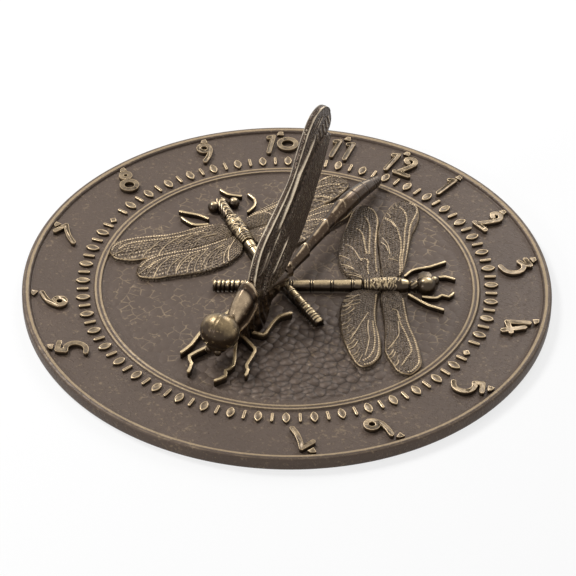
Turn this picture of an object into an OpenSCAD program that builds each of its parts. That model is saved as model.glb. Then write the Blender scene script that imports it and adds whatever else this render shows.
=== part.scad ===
// Horizontal garden sundial with a dragonfly gnomon, all sizes in millimetres.
// The origin is the centre of the plate's underside. +Y points to noon, the
// morning hours lie towards -X and the afternoon hours towards +X.

/* [Dial plate] */
// Outer diameter of the plate
dial_d = 304.8; // [296:0.1:330]
// Height of the flat field above the table
field_h = 6; // [5.6:0.1:8]
// Thickness of the plate's web
web_t = 3.2; // [2.8:0.1:3.6]
// Width of the skirt wall that the plate stands on
skirt_w = 4.2; // [3:0.1:6]
// Width of the raised rim
rim_w = 5; // [4:0.1:6]
// Height of the rim above the field
rim_rise = 2; // [1.2:0.1:3]
// Height of the stiffening ribs below the web
rib_h = 2; // [1:0.1:2.2]
// Thickness of a stiffening rib
rib_t = 2.6; // [2:0.1:4]
// Number of stiffening ribs
rib_count = 6; // [3:1:9]

/* [Inner ring] */
// Width of the ring around the middle field
ring_w = 5.2; // [3.6:0.1:6]
// Height of the ring above the field
ring_rise = 1.1; // [0.6:0.1:1.6]
// Gap between the ring and the ornament band
ring_gap = 2; // [1.4:0.1:2.6]

/* [Hour scale] */
// Latitude that the dial is laid out for, in degrees
latitude = 40; // [37:0.5:43]
// Distance from the plate's centre back to the point where the hour lines meet
style_back = 83; // [79:0.5:86]
// Height of a numeral
numeral_h = 19.2; // [17:0.1:20]
// Stroke width of a numeral
numeral_w = 2.8; // [2:0.1:3.2]
// Height of a numeral above the field
numeral_rise = 2.5; // [1:0.1:3]
// Gap between the rim's pointers and the numerals
numeral_gap = 1.4; // [1:0.1:2]
// Length of an hour pointer inside the rim
pointer_l = 3.8; // [3:0.1:4.4]
// Width of an hour pointer at its inner end
pointer_w = 4.2; // [3:0.1:5]

/* [Ornament band] */
// Gap between the leaf-and-dart band and the numerals
band_gap = 1.2; // [0.8:0.1:2]
// Length of a leaf across the band
leaf_l = 8.4; // [7:0.1:9]
// Width of a leaf
leaf_w = 4.6; // [3:0.1:5]
// Length of a dart across the band
dart_l = 7; // [5:0.1:8]
// Width of a dart
dart_w = 1.7; // [1:0.1:2]
// Height of the band's relief above the field
band_rise = 1.8; // [1:0.1:2.4]
// Number of leaf-and-dart places around the band
leaf_count = 96; // [72:2:100]
// Side of the square studs that divide the band
stud_side = 3.4; // [2:0.1:4]

/* [Relief dragonflies] */
// Direction of the east insect's body, counted from the +X axis in degrees
heading = 30.7; // [29:0.1:32]
// Distance behind the plate's centre at which the east body crosses the middle
crossing_back = 4.5; // [3.6:0.1:5.4]
// Direction of the west insect's body, counted from the -X axis in degrees
west_heading = 35.6; // [34.6:0.1:36.4]
// Distance behind the plate's centre at which the west body would cross the middle
west_back = 7.9; // [7.2:0.1:8.6]
// Direction of the west abdomen's far end, which lies beyond the east body
stub_heading = 29.6; // [27:0.1:32]
// Distance behind the plate's centre at which that end would cross the middle
stub_back = 3.6; // [2.6:0.1:4.6]
// Height of a wing above the field
wing_rise = 2.8; // [2:0.1:3.2]
// Height of a body's axis above the field
axis_rise = 2.3; // [1.8:0.1:2.5]
// Largest radius of an abdomen
abdomen_r = 3.2; // [2.6:0.1:3.4]
// Radius of the thorax
thorax_r = 5.2; // [4.4:0.1:6]
// Radius of the east insect's near eye
near_eye_r = 5.8; // [5:0.1:6.2]
// Radius of the east insect's far eye
far_eye_r = 4.2; // [3.6:0.1:4.6]
// Radius of each of the west insect's eyes
west_eye_r = 4; // [3.4:0.1:4.4]
// Width of a leg
leg_w = 1.7; // [1.2:0.1:2]
// Height of a leg above the field
leg_rise = 3; // [2:0.1:4]
// Thickness by which a vein stands out of a wing
vein_rise = 0.5; // [0.3:0.1:0.8]
// Width of a vein
vein_w = 1.1; // [0.8:0.1:1.4]

/* [Gnomon] */
// Thickness of the folded fore wings
style_t = 3.4; // [3:0.1:4.4]
// Thickness of one folded hind wing
hind_t = 1.8; // [1.4:0.1:2.4]
// Height of the saddle that the folded wings stand on, above the field
saddle_h = 16; // [15:0.1:17]
// Radius of the head's eyes
head_r = 10.4; // [9.6:0.1:10.8]
// Distance of each eye's centre from the middle plane
head_offset = 1.2; // [0.6:0.1:2]
// Height of the head's centre above the field
head_h = 18; // [17:0.1:19]
// Half width of the pedestal at the field
chest_half = 8.4; // [7.6:0.1:9]
// Radius of the shield on the thorax
shield_r = 6.4; // [5.8:0.1:7]
// Height of the shield's top above the field
shield_h = 30.8; // [29:0.1:32]
// Radius of the tail where it leaves the thorax
tail_root_r = 3.1; // [2.8:0.1:3.2]
// Radius of the tail at its thickest
tail_club_r = 5.4; // [4.6:0.1:5.8]
// Radius of the tail's tip
tail_tip_r = 3; // [2.6:0.1:3.2]
// Height of the gnomon's legs above the field
foot_rise = 4.4; // [3:0.1:5]

/* [Fasteners] */
// Shank radius of the two gnomon screws
screw_r = 2.4; // [2.2:0.05:2.5]
// Radius of a screw head
screw_head_r = 4.5; // [4.2:0.1:4.8]
// Height of a screw head
screw_head_h = 2.1; // [1.8:0.1:2.2]
// Reach of a screw above the field, into the gnomon
screw_reach = 11; // [8:0.1:12]
// Distance between the two screws
screw_pitch = 13.2; // [12.8:0.1:13.6]
// Thickness of a washer
washer_t = 0.9; // [0.7:0.1:1]
// Radius of the tapped hole for the pedestal bolt
mount_hole_r = 2.55; // [2.3:0.05:3]
// Depth of the tapped hole for the pedestal bolt
mount_hole_l = 4.4; // [4:0.1:4.6]
// Radius of the central boss on the underside
boss_r = 11; // [9:0.1:13]

/* [Hidden] */
// Running clearance of a screw in the plate
plate_clear = 0.2;
// Thread clearance of a screw in the gnomon
thread_clear = 0.05;
// Gap left between neighbouring pieces whose faces are curved
seat_gap = 0.15;
// How far a cutting body runs past what it cuts
cut_past = 1;

dial_r = dial_d / 2;
rim_inner_r = dial_r - rim_w;
web_z = field_h - web_t;

// The scale, the band and the ring follow each other from the rim inwards
numeral_reach = pointer_l + numeral_gap + numeral_h;
band_r = rim_inner_r - numeral_reach - band_gap - leaf_l / 2;
ring_outer_r = band_r - leaf_l / 2 - ring_gap;
ring_r = ring_outer_r - ring_w;

// The insects and the gnomon's plan are drawn for this ring radius and follow the real one
drawn_ring_r = 106.2;
plan_k = ring_r / drawn_ring_r;
function planned(p) = [for (q = p) plan_k * q];

// Seat of a screw head below the gnomon
seat_web = 2.4;
seat_z = field_h - seat_web;
counterbore_r = screw_head_r + 1.1;
screw_mid_y = -50.4 * plan_k;
screw_y = [screw_mid_y - screw_pitch / 2, screw_mid_y + screw_pitch / 2];

// Directions and curves

function polar(r, azimuth) = [r * sin(azimuth), r * cos(azimuth)];
function unit(v) = v / norm(v);
function turn_left(v) = [-v[1], v[0]];
function arc(centre, r, from, to, n) =
    [for (k = [0 : n]) centre + r * [cos(from + (to - from) * k / n), sin(from + (to - from) * k / n)]];

// A point of the smooth curve that runs from b to c, with neighbours a and d
function between(a, b, c, d, t) =
    0.5 * (2 * b + (c - a) * t + (2 * a - 5 * b + 4 * c - d) * t * t + (3 * b - a - 3 * c + d) * t * t * t);
function nth(p, i) = p[(i + len(p)) % len(p)];
function smooth_loop(p, n) =
    [for (i = [0 : len(p) - 1], k = [0 : n - 1])
        between(nth(p, i - 1), nth(p, i), nth(p, i + 1), nth(p, i + 2), k / n)];
function held(p, i) = p[max(0, min(len(p) - 1, i))];
function smooth_path(p, n) =
    concat([for (i = [0 : len(p) - 2], k = [0 : n - 1])
        between(held(p, i - 1), held(p, i), held(p, i + 1), held(p, i + 2), k / n)], [p[len(p) - 1]]);

// The outline of a stroke of width w that follows a path and has round ends
function heading_at(p, i) = unit(held(p, i + 1) - held(p, i - 1));
function round_end(centre, way, w) =
    [for (a = [60, 0, -60]) centre + w / 2 * (cos(a) * way + sin(a) * turn_left(way))];
function stroke(p, w) = concat(
    [for (i = [0 : len(p) - 1]) p[i] + turn_left(heading_at(p, i)) * w / 2],
    round_end(p[len(p) - 1], heading_at(p, len(p) - 1), w),
    [for (i = [len(p) - 1 : -1 : 0]) p[i] - turn_left(heading_at(p, i)) * w / 2],
    round_end(p[0], -heading_at(p, 0), w));

module line(p, w) {
    polygon(stroke(p, w));
}

// Dial plate

// The plate's half section: skirt, web, rolled rim and the low inner ring
ring_slope = 0.9;
rim_round = rim_w / 2;
plate_profile = concat(
    [[0, web_z], [dial_r - skirt_w - 1, web_z], [dial_r - skirt_w, web_z - 1], [dial_r - skirt_w, 0],
     [dial_r - 1.2, 0], [dial_r - 0.5, 0.6]],
    arc([dial_r - rim_round, field_h + rim_rise - rim_round], rim_round, 0, 180, 10),
    [[rim_inner_r, field_h + 0.4], [rim_inner_r - 0.5, field_h], [ring_outer_r, field_h],
     [ring_outer_r - ring_slope, field_h + ring_rise], [ring_outer_r - ring_slope - 0.8, field_h + ring_rise],
     [ring_outer_r - ring_slope - 1.1, field_h + ring_rise - 0.4],
     [ring_r + ring_slope + 1.1, field_h + ring_rise - 0.4],
     [ring_r + ring_slope + 0.8, field_h + ring_rise], [ring_r + ring_slope, field_h + ring_rise],
     [ring_r, field_h], [0, field_h]]);

module dial_plate() {
    color([0.43, 0.38, 0.34])
    difference() {
        union() {
            rotate_extrude($fn = 180) polygon(plate_profile);
            translate([0, 0, 0.4]) cylinder(h = web_z, r = boss_r, $fn = 60);
            for (k = [0 : rib_count - 1])
                rotate([0, 0, 360 / rib_count * (k + 0.5)])
                    translate([boss_r - 1, -rib_t / 2, web_z - rib_h])
                        cube([dial_r - skirt_w - boss_r + 1.5, rib_t, rib_h + 0.5]);
        }
        translate([0, 0, -cut_past])
            cylinder(h = mount_hole_l + 0.4 + cut_past, r = mount_hole_r, $fn = 40);
        for (y = screw_y) translate([0, y, 0]) {
            translate([0, 0, -cut_past])
                cylinder(h = field_h + 2 * cut_past, r = screw_r + plate_clear, $fn = 40);
            translate([0, 0, -cut_past]) cylinder(h = seat_z + cut_past, r = counterbore_r, $fn = 48);
        }
    }
}

// Hour scale

// The hour line's direction, clockwise from noon, h hours after noon
function hour_turn(h) = atan2(sin(latitude) * sin(15 * h), cos(15 * h));
hour_origin = [0, -style_back];
// Distance along an hour line from its origin to the circle of radius r
function hour_reach(turn, r) =
    let (b = -style_back * cos(turn)) -b + sqrt(b * b - style_back * style_back + r * r);
function hour_mark(turn, r) = hour_origin + hour_reach(turn, r) * polar(1, turn);
hours = [-7 : 7];
function hour_label(h) = h < 0 ? 12 + h : (h == 0 ? 12 : h);

module on_hour_line(h) {
    turn = hour_turn(h);
    mark = hour_mark(turn, rim_inner_r);
    translate([mark[0], mark[1], field_h]) rotate([0, 0, -turn]) children();
}

// Digits stand on the line y = 0 and are 1 high, measured on the strokes' middle lines
digit_k = numeral_h - numeral_w;
module digit_line(p) {
    line([for (q = p) digit_k * q], numeral_w);
}
module digit_curve(p) {
    line(smooth_path([for (q = p) digit_k * q], 3), numeral_w);
}
module digit_ring(x, y, r) {
    translate([x, y] * digit_k) difference() {
        circle(r = r * digit_k + numeral_w / 2, $fn = 40);
        circle(r = r * digit_k - numeral_w / 2, $fn = 32);
    }
}
module digit(d) {
    if (d == 0) digit_ring(0.08, 0.64, 0.31);
    if (d == 1) {
        digit_line([[0, 0], [0, 1]]);
        digit_line([[0, 0.99], [-0.17, 0.89]]);
    }
    if (d == 2) {
        digit_curve([[0.03, 0.74], [-0.12, 0.84], [-0.06, 1], [0.12, 1.02], [0.26, 0.88], [0.24, 0.68],
                     [0.1, 0.36], [-0.02, 0.12]]);
        digit_line([[-0.17, 0.03], [0.4, 0.03]]);
    }
    if (d == 3) {
        digit_line([[-0.12, 0.99], [0.26, 0.99]]);
        digit_line([[0.26, 0.99], [0.1, 0.78]]);
        digit_curve([[-0.1, 0.72], [0.1, 0.77], [0.3, 0.68], [0.4, 0.46], [0.34, 0.2], [0.14, 0.03],
                     [-0.16, 0]]);
    }
    if (d == 4) {
        digit_line([[0.06, 1], [-0.16, 0.26]]);
        digit_line([[-0.16, 0.26], [0.42, 0.26]]);
        digit_line([[0.26, 0.78], [0.26, 0]]);
    }
    if (d == 5) {
        digit_line([[-0.18, 0.99], [0.24, 0.99]]);
        digit_line([[-0.18, 0.99], [-0.18, 0.7]]);
        digit_curve([[-0.18, 0.7], [0.04, 0.72], [0.22, 0.6], [0.29, 0.4], [0.22, 0.16], [0.06, 0.03],
                     [-0.16, 0]]);
    }
    if (d == 6) {
        digit_ring(0.02, 0.2, 0.2);
        digit_curve([[0.12, 1], [-0.06, 0.74], [-0.18, 0.46], [-0.18, 0.2]]);
    }
    if (d == 7) {
        digit_line([[-0.28, 0.95], [0.22, 0.98]]);
        digit_curve([[0.22, 0.98], [0.06, 0.68], [-0.07, 0.34], [-0.13, 0]]);
    }
    if (d == 8) {
        digit_ring(-0.01, 0.86, 0.16);
        digit_ring(-0.03, 0.27, 0.27);
    }
    if (d == 9) {
        digit_ring(0, 0.8, 0.2);
        digit_curve([[0.2, 0.8], [0.22, 0.6], [0.15, 0.3], [0.02, 0]]);
    }
}
// Places of the two digits of a numeral such as 10, and of a single digit
pair_left = -0.22;
pair_right = 0.3;
module numeral(n) {
    if (n >= 10) {
        translate([pair_left * digit_k, 0]) digit(1);
        translate([pair_right * digit_k, 0]) digit(n - 10);
    } else digit(n);
}
numeral_base = numeral_reach - numeral_w / 2;

module hour_numerals() {
    color([0.62, 0.53, 0.4])
    for (h = hours) on_hour_line(h)
        translate([0, -numeral_base, 0]) linear_extrude(numeral_rise) numeral(hour_label(h));
}

pointer_rise = rim_rise;
module hour_pointers() {
    color([0.62, 0.53, 0.4])
    for (h = hours) on_hour_line(h)
        difference() {
            linear_extrude(pointer_rise)
                polygon([[-pointer_w / 4, -seat_gap], [pointer_w / 4, -seat_gap],
                         [pointer_w / 2, -pointer_l], [-pointer_w / 2, -pointer_l]]);
            translate([-pointer_w, -pointer_l, pointer_rise]) rotate([-52, 0, 0])
                translate([0, -pointer_l, 0]) cube([2 * pointer_w, pointer_l, pointer_l]);
            rotate([0, 0, hour_turn(h)]) translate(-[hour_mark(hour_turn(h), rim_inner_r)[0],
                                                    hour_mark(hour_turn(h), rim_inner_r)[1], cut_past])
                difference() {
                    cylinder(h = field_h, r = dial_r, $fn = 60);
                    translate([0, 0, -cut_past])
                        cylinder(h = field_h + 2 * cut_past, r = rim_inner_r - 0.5 - seat_gap, $fn = 180);
                }
        }
}

// Ornament band: leaves and darts in turn, with a square stud at each side

stud_azimuth = [-91, 91];
function near_stud(azimuth) =
    min([for (a = stud_azimuth) abs((azimuth - a + 540) % 360 - 180)]) < 0.6 * 360 / leaf_count;
leaf_step = 360 / leaf_count;

// A leaf is bounded by two arcs that meet in its points
leaf_arc_r = (leaf_l * leaf_l / 4 + leaf_w * leaf_w / 4) / leaf_w;
leaf_half = asin(leaf_l / 2 / leaf_arc_r);
leaf_side = arc([leaf_arc_r - leaf_w / 2, 0], leaf_arc_r, 180 - leaf_half, 180 + leaf_half, 6);
leaf_outline = concat(leaf_side, [for (k = [5 : -1 : 1]) [-leaf_side[k][0], leaf_side[k][1]]]);

module ornament_band() {
    color([0.6, 0.52, 0.4])
    for (k = [0 : leaf_count - 1]) {
        azimuth = k * leaf_step;
        if (!near_stud(azimuth))
            rotate([0, 0, -azimuth]) translate([0, band_r, field_h]) linear_extrude(band_rise)
                if (k % 2 == 0) polygon(leaf_outline);
                else line([[0, -dart_l / 2 + dart_w / 2], [0, dart_l / 2 - dart_w / 2]], dart_w);
    }
}

stud_rise = band_rise - 0.2;
module band_studs() {
    color([0.6, 0.52, 0.4])
    for (a = stud_azimuth)
        translate([polar(band_r, a)[0], polar(band_r, a)[1], field_h])
            rotate([0, 0, 45 - a]) translate([-stud_side / 2, -stud_side / 2, 0])
                cube([stud_side, stud_side, stud_rise]);
}

// Relief dragonflies: x runs along the body from the crossing to the head

neck_x = 72.6 * plan_k;
waist_x = 46 * plan_k;
tail_end_x = -40.5 * plan_k;
waist_gap = 0.5;
body_z = field_h + axis_rise;

module place_east() {
    translate([0, -crossing_back, 0]) rotate([0, 0, heading]) children();
}
module place_west() {
    mirror([1, 0, 0]) translate([0, -west_back, 0]) rotate([0, 0, west_heading]) children();
}
module place_stub() {
    mirror([1, 0, 0]) translate([0, -stub_back, 0]) rotate([0, 0, stub_heading]) children();
}
// Everything on one side of the east body's axis: side is 1 on its left and 0 on its right
module beside_east(side) {
    place_east() translate([-dial_r, (side - 1) * dial_d, 0]) cube([dial_d, dial_d, 60]);
}
// The half space above the field, with a small lift where a piece has to clear its neighbour
module above(z) {
    translate([-200, -200, z]) cube([400, 400, 60]);
}
module turned(profile) {
    translate([0, 0, body_z]) rotate([0, 90, 0]) rotate_extrude($fn = 40) polygon(profile);
}

// Thorax profile as [radius, x]: a waist, a deep chest and a short collar
function thorax_profile(grow) = concat(
    [[0, waist_x]],
    [for (k = [0 : 10])
        let (t = k / 10, swell = (thorax_r - abdomen_r) * pow(sin(180 * t), 0.7))
            [abdomen_r + grow + swell, waist_x + (neck_x - waist_x) * t]],
    [[0, neck_x]]);

// Abdomen profile: segments with a raised hoop at each joint
segment_l = 11.8 * plan_k;
segment_count = 7;
hoop_h = 0.35;
hoop_w = 1.1;
function abdomen_width(x) = abdomen_r * (0.8 + 0.2 * (x - tail_end_x) / (waist_x - tail_end_x));
function hoop(x) = [[abdomen_width(x), x - hoop_w], [abdomen_width(x) + hoop_h, x - hoop_w / 3],
                    [abdomen_width(x) + hoop_h, x + hoop_w / 3], [abdomen_width(x), x + hoop_w]];
abdomen_profile = concat(
    [[0, waist_x - waist_gap], [abdomen_width(waist_x), waist_x - waist_gap]],
    [for (k = [1 : segment_count])
        let (h = hoop(waist_x - segment_l * k + 3)) for (i = [3 : -1 : 0]) h[i]],
    [[abdomen_width(tail_end_x), tail_end_x + 1], [abdomen_width(tail_end_x) - 1, tail_end_x],
     [0, tail_end_x]]);

module relief_thorax() {
    intersection() {
        turned(thorax_profile(0));
        above(field_h);
    }
}
module relief_abdomen() {
    intersection() {
        turned(abdomen_profile);
        above(field_h);
    }
}
// A head is its eyes, listed as [x, y, radius], with a face between them and a neck
module relief_head(eyes, face_x, face_r) {
    face_y = (eyes[0][1] + eyes[1][1]) / 2;
    intersection() {
        union() {
            for (e = eyes) translate([e[0], e[1], body_z]) sphere(r = e[2], $fn = 32);
            translate([face_x, face_y, body_z]) sphere(r = face_r, $fn = 32);
            translate([neck_x + seat_gap, 0, body_z]) rotate([0, 90, 0])
                cylinder(h = eyes[0][0] - neck_x, r = abdomen_r, $fn = 32);
        }
        above(field_h);
    }
}
east_eyes = [[82.4 * plan_k, 0.8, near_eye_r], [81 * plan_k, 7.3, far_eye_r]];
west_eyes = [[85.8 * plan_k, -5.3, west_eye_r], [88.4 * plan_k, 5.9, west_eye_r]];
face_r = 3.8;

// Wing outlines on the body's left side, as [x, y]
fore_outline = smooth_loop([
    [60, 4.5], [66.5, 7], [69.5, 17], [71.5, 29], [73.5, 41], [76, 52], [78, 62], [78, 71], [74, 78],
    [69, 79.5], [64.5, 75.5], [60.5, 67], [58.4, 56], [57.6, 44], [57.6, 30], [57, 16]], 3);
hind_outline = smooth_loop([
    [55.8, 8], [55, 22], [54.6, 36], [55.2, 48], [56, 58], [55, 66], [51.5, 72], [46.5, 73], [41.5, 69],
    [37.5, 58.5], [34.8, 47], [33, 35], [32.5, 24], [34.5, 13.5], [39.5, 6], [47, 5]], 3);
// Main veins, from the root towards the tip
fore_veins = [
    [[65, 10], [67, 24], [69.5, 40], [73, 56], [74.5, 68], [72, 75]],
    [[61, 12], [62.5, 30], [65, 48], [68.5, 62], [69.5, 72]],
    [[60, 24], [60.5, 42], [62.5, 56], [65.5, 68]]];
hind_veins = [
    [[53.5, 12], [52, 28], [51.5, 44], [52.5, 56], [51, 66]],
    [[47, 12], [46, 28], [46.5, 44], [48, 58], [46.5, 68]],
    [[40, 14], [39.5, 28], [41, 42], [43, 56], [42.5, 64]]];
root_x = 57 * plan_k;
// Each wing is turned about its root: the left ones forward and the right ones back
east_left_turn = -1.4;
west_left_turn = -6;
fore_right_turn = 2;
hind_right_turn = 3.2;
// The west insect's right wings lie closer to its body, and its left hind wing is shorter
west_right_shift = 2.8;
west_left_reach = 0.93;

module wing(outline, veins, turn, reach) {
    module flat(h) {
        translate([root_x, 0, field_h]) rotate([0, 0, turn]) translate([-root_x, 0, 0]) scale([1, reach, 1])
            linear_extrude(h) children();
    }
    flat(wing_rise) polygon(planned(outline));
    flat(wing_rise + vein_rise) for (v = veins) line(smooth_path(planned(v), 3), vein_w);
}
// Keeps a wing's tip clear of the ring around the middle field
module inside_ring() {
    intersection() {
        children();
        cylinder(h = 2 * field_h + wing_rise + vein_rise, r = ring_r - seat_gap, $fn = 180);
    }
}
module body_room() {
    turned(thorax_profile(seat_gap));
    turned([[0, tail_end_x], [0, waist_x], [abdomen_r + hoop_h + seat_gap, waist_x],
            [abdomen_r + hoop_h + seat_gap, tail_end_x]]);
}
module wing_pair(outline, veins, left_turn, right_turn, left_reach = 1, right_shift = 0) {
    difference() {
        union() {
            wing(outline, veins, left_turn, left_reach);
            translate([0, right_shift, 0]) mirror([0, 1, 0]) wing(outline, veins, right_turn, 1);
        }
        body_room();
    }
}

// Legs stand on the field as low walls, listed from the thorax outwards
east_leg_paths = [
    [[70.5, 9], [74, 13.5], [78.2, 15.7], [85.2, 17.6], [94.2, 22.2]],
    [[90.4, 7.9], [93.8, 8.4], [98.8, 6.2]],
    [[80, -10], [84.4, -11], [88.2, -10.8], [90.9, -8.4], [94.8, -10], [97.6, -6.6]],
    [[72, -8.2], [76.5, -12.4], [82, -17], [86.7, -19.6], [90.9, -21.7]]];
west_leg_paths = [
    [[89.8, -25], [85.8, -20.6], [81.8, -15.8], [76.6, -12.4]],
    [[83.6, -26.4], [78.2, -24.6], [74, -21.4], [71.8, -14.9]],
    [[89, 19], [82.7, 20.4], [77, 17.5], [73.6, 12]],
    [[99.4, 5.4], [94.7, 7.4], [91.5, 10.6], [89.2, 14.2]]];
module relief_legs(paths) {
    translate([0, 0, field_h]) linear_extrude(leg_rise)
        for (p = paths) line(smooth_path(planned(p), 2), leg_w);
}

module east_head() {
    color([0.5, 0.43, 0.34]) place_east() relief_head(east_eyes, 86.4 * plan_k, face_r);
}
module east_thorax() {
    color([0.66, 0.57, 0.42]) place_east() relief_thorax();
}
module east_abdomen() {
    color([0.66, 0.57, 0.42]) place_east() relief_abdomen();
}
module east_fore_wings() {
    color([0.52, 0.45, 0.36]) inside_ring() place_east()
        wing_pair(fore_outline, fore_veins, east_left_turn, fore_right_turn);
}
module east_hind_wings() {
    color([0.5, 0.43, 0.34]) place_east()
        wing_pair(hind_outline, hind_veins, east_left_turn, hind_right_turn);
}
module east_legs() {
    color([0.62, 0.53, 0.4]) place_east() relief_legs(east_leg_paths);
}
module west_head() {
    color([0.5, 0.43, 0.34]) place_west() relief_head(west_eyes, 88.6 * plan_k, face_r + 0.6);
}
module west_thorax() {
    color([0.6, 0.52, 0.39]) place_west() relief_thorax();
}
// The west abdomen passes under the east one and is parted by it
module west_abdomen() {
    color([0.6, 0.52, 0.39]) difference() {
        union() {
            intersection() {
                place_west() relief_abdomen();
                beside_east(1);
            }
            intersection() {
                place_stub() relief_abdomen();
                beside_east(0);
            }
        }
        place_east() body_room();
    }
}
module west_fore_wings() {
    color([0.52, 0.45, 0.36]) inside_ring() place_west()
        wing_pair(fore_outline, fore_veins, west_left_turn, fore_right_turn, 1, west_right_shift);
}
module west_hind_wings() {
    color([0.5, 0.43, 0.34]) place_west()
        wing_pair(hind_outline, hind_veins, west_left_turn, hind_right_turn,
                  west_left_reach, west_right_shift);
}
module west_legs() {
    color([0.62, 0.53, 0.4]) place_west() relief_legs(west_leg_paths);
}

// Gnomon: the folded wings are the style, and their leading edge follows the style line

saddle_z = field_h + saddle_h;
chest_front_y = -62 * plan_k;
chest_mid_y = -45 * plan_k;
neck_y = chest_front_y - 1.5;
rump_y = -4;
// The wing roots stand on the saddle from here to the rump
style_seat_y = -41 * plan_k;

// A flat slab with the outline of a boat, the thickest at y = widest
module boat(from, to, widest, half, z, h) {
    side = smooth_path([[0.5, from], [half * 0.72, from + (widest - from) * 0.4], [half, widest],
                        [half * 0.8, widest + (to - widest) * 0.55], [1.2, to]], 4);
    translate([0, 0, z]) linear_extrude(h)
        polygon(concat(side, [for (i = [len(side) - 1 : -1 : 0]) [-side[i][0], side[i][1]]]));
}
slab = 0.5;
// The pedestal stands on the field up to foot_end_y, and its belly hangs clear behind that
foot_end_y = -37 * plan_k;
belly_y = -26 * plan_k;
belly_h = 0.4 * saddle_h;
belly_half = chest_half - 1.2;
saddle_half = chest_half - 3;
// The shield slopes down to the neck
shield_fall = 9;
shield_z = field_h + shield_h - shield_r;
module saddle_boat() {
    boat(chest_front_y, rump_y + 1, chest_mid_y, saddle_half, saddle_z - slab, slab);
}
module gnomon_thorax() {
    color([0.4, 0.34, 0.29])
    difference() {
        union() {
            hull() {
                boat(chest_front_y, foot_end_y, chest_mid_y, chest_half, field_h, slab);
                boat(chest_front_y - 1, belly_y, chest_mid_y, belly_half, field_h + belly_h, slab);
            }
            hull() {
                boat(chest_front_y - 1, rump_y + 1, chest_mid_y, belly_half, field_h + belly_h, slab);
                saddle_boat();
            }
            hull() {
                boat(chest_front_y, style_seat_y + 4, chest_mid_y, shield_r - 0.8, saddle_z - 5, slab);
                translate([0, neck_y + shield_r - 0.1, shield_z - shield_fall])
                    sphere(r = shield_r, $fn = 32);
                translate([0, style_seat_y - shield_r, shield_z]) sphere(r = shield_r, $fn = 32);
            }
        }
        translate([-20, neck_y - 20, 0]) cube([40, 20, 60]);
        translate([-20, rump_y, 0]) cube([40, 20, 60]);
        translate([-20, style_seat_y, saddle_z]) cube([40, 60, 60]);
        for (y = screw_y) translate([0, y, field_h - cut_past])
            cylinder(h = screw_reach + 1 + cut_past, r = screw_r + thread_clear, $fn = 40);
    }
}

// Distance of the head's centre from the neck
head_reach = 11.1;
head_y = neck_y - head_reach;
// The muzzle hangs below the head's front
muzzle_drop = 6.5;
muzzle_ahead = 2.4;
muzzle_r = 0.6 * head_r;
neck_r = 5.4;
module gnomon_head() {
    color([0.5, 0.43, 0.34])
    difference() {
        union() {
            for (side = [-1, 1])
                translate([side * head_offset, head_y, field_h + head_h]) sphere(r = head_r, $fn = 40);
            translate([0, head_y - muzzle_ahead, field_h + head_h - muzzle_drop])
                sphere(r = muzzle_r, $fn = 32);
            translate([0, head_y, field_h + head_h - 1]) rotate([-90, 0, 0])
                cylinder(h = 2 * head_r, r = neck_r, $fn = 32);
        }
        translate([-20, neck_y, 0]) cube([40, 30, 60]);
    }
}

// Axis of the tail as [y, height above the field, radius]
tail_stations = [
    [rump_y, 9.6, tail_root_r + 0.5], [0, 9.4, tail_root_r + 0.7], [19 * plan_k, 10.6, tail_root_r + 0.8],
    [42 * plan_k, 12.5, tail_root_r + 1], [61 * plan_k, 13.8, (tail_root_r + tail_club_r) / 2 + 0.9],
    [73 * plan_k, 12.6, tail_club_r], [90 * plan_k, 8.6, tail_club_r - 0.8],
    [100 * plan_k, 6, tail_tip_r + 0.7], [ring_r + 1.8, ring_rise + tail_tip_r - 0.2, tail_tip_r]];
// The slender segments flare: each starts this much thinner than the one before it ends
tail_flare = 1;
slender_count = 4;
function station(i) = [tail_stations[i][0], field_h + tail_stations[i][1]];
module tail_segment(i) {
    a = station(i);
    b = station(i + 1);
    waist = i > 0 && i <= slender_count ? tail_flare : 0;
    translate([0, a[0], a[1]]) rotate([atan2(b[1] - a[1], b[0] - a[0]) - 90, 0, 0])
        cylinder(h = norm(b - a), r1 = tail_stations[i][2] - waist, r2 = tail_stations[i + 1][2], $fn = 40);
}
module gnomon_tail() {
    color([0.42, 0.36, 0.3])
    difference() {
        union() {
            for (i = [0 : len(tail_stations) - 2]) tail_segment(i);
            for (i = [1 : len(tail_stations) - 1])
                translate([0, station(i)[0], station(i)[1]]) sphere(r = tail_stations[i][2] + 0.25, $fn = 32);
        }
        translate([-20, rump_y - 20, 0]) cube([40, 20, 60]);
        translate([0, 0, field_h - 10]) cylinder(h = 10 + ring_rise, r = dial_r, $fn = 60);
    }
}

// Folded wings in the style's frame: x along the style line, y square to it, above the saddle
fore_style = [
    [44, -9], [49.5, -5], [55.5, -1.5], [64, 2.6], [73, 4], [85, 3], [97, 2], [109, 1.5], [117, 2.6],
    [126, 5.4], [134, 7.6], [142, 9.4], [149, 9.4], [154.5, 7], [158.5, 3], [160, -2], [159, -9],
    [156, -14.5], [151, -17.5], [138, -19], [122, -22], [104, -27], [88, -34], [76, -42], [60, -44],
    [40, -24]];
hind_style = [
    [50, -18], [56, -14.5], [65, -12], [75, -10.2], [88, -10.4], [100, -11.4], [110, -11], [119, -8.6],
    [128, -6.4], [136, -6], [143, -8], [149, -12.4], [152, -17], [151.6, -21.5], [146, -25.4], [138, -28],
    [128, -31.6], [118, -35], [108, -38], [98, -40.6], [88, -42.6], [76, -44], [60, -46], [44, -30]];
module style_frame() {
    translate([0, -style_back, field_h]) rotate([latitude, 0, 0]) rotate([90, 0, 90]) children();
}
module folded_wing(outline, x, t) {
    difference() {
        style_frame() translate([0, 0, x]) linear_extrude(t) polygon(smooth_loop(planned(outline), 3));
        translate([-20, -style_back - 20, 0]) cube([40, 220, saddle_z]);
        translate([-20, -style_back - 20, 0]) cube([40, style_back + 20 + style_seat_y + 0.2, 200]);
    }
}
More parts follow.
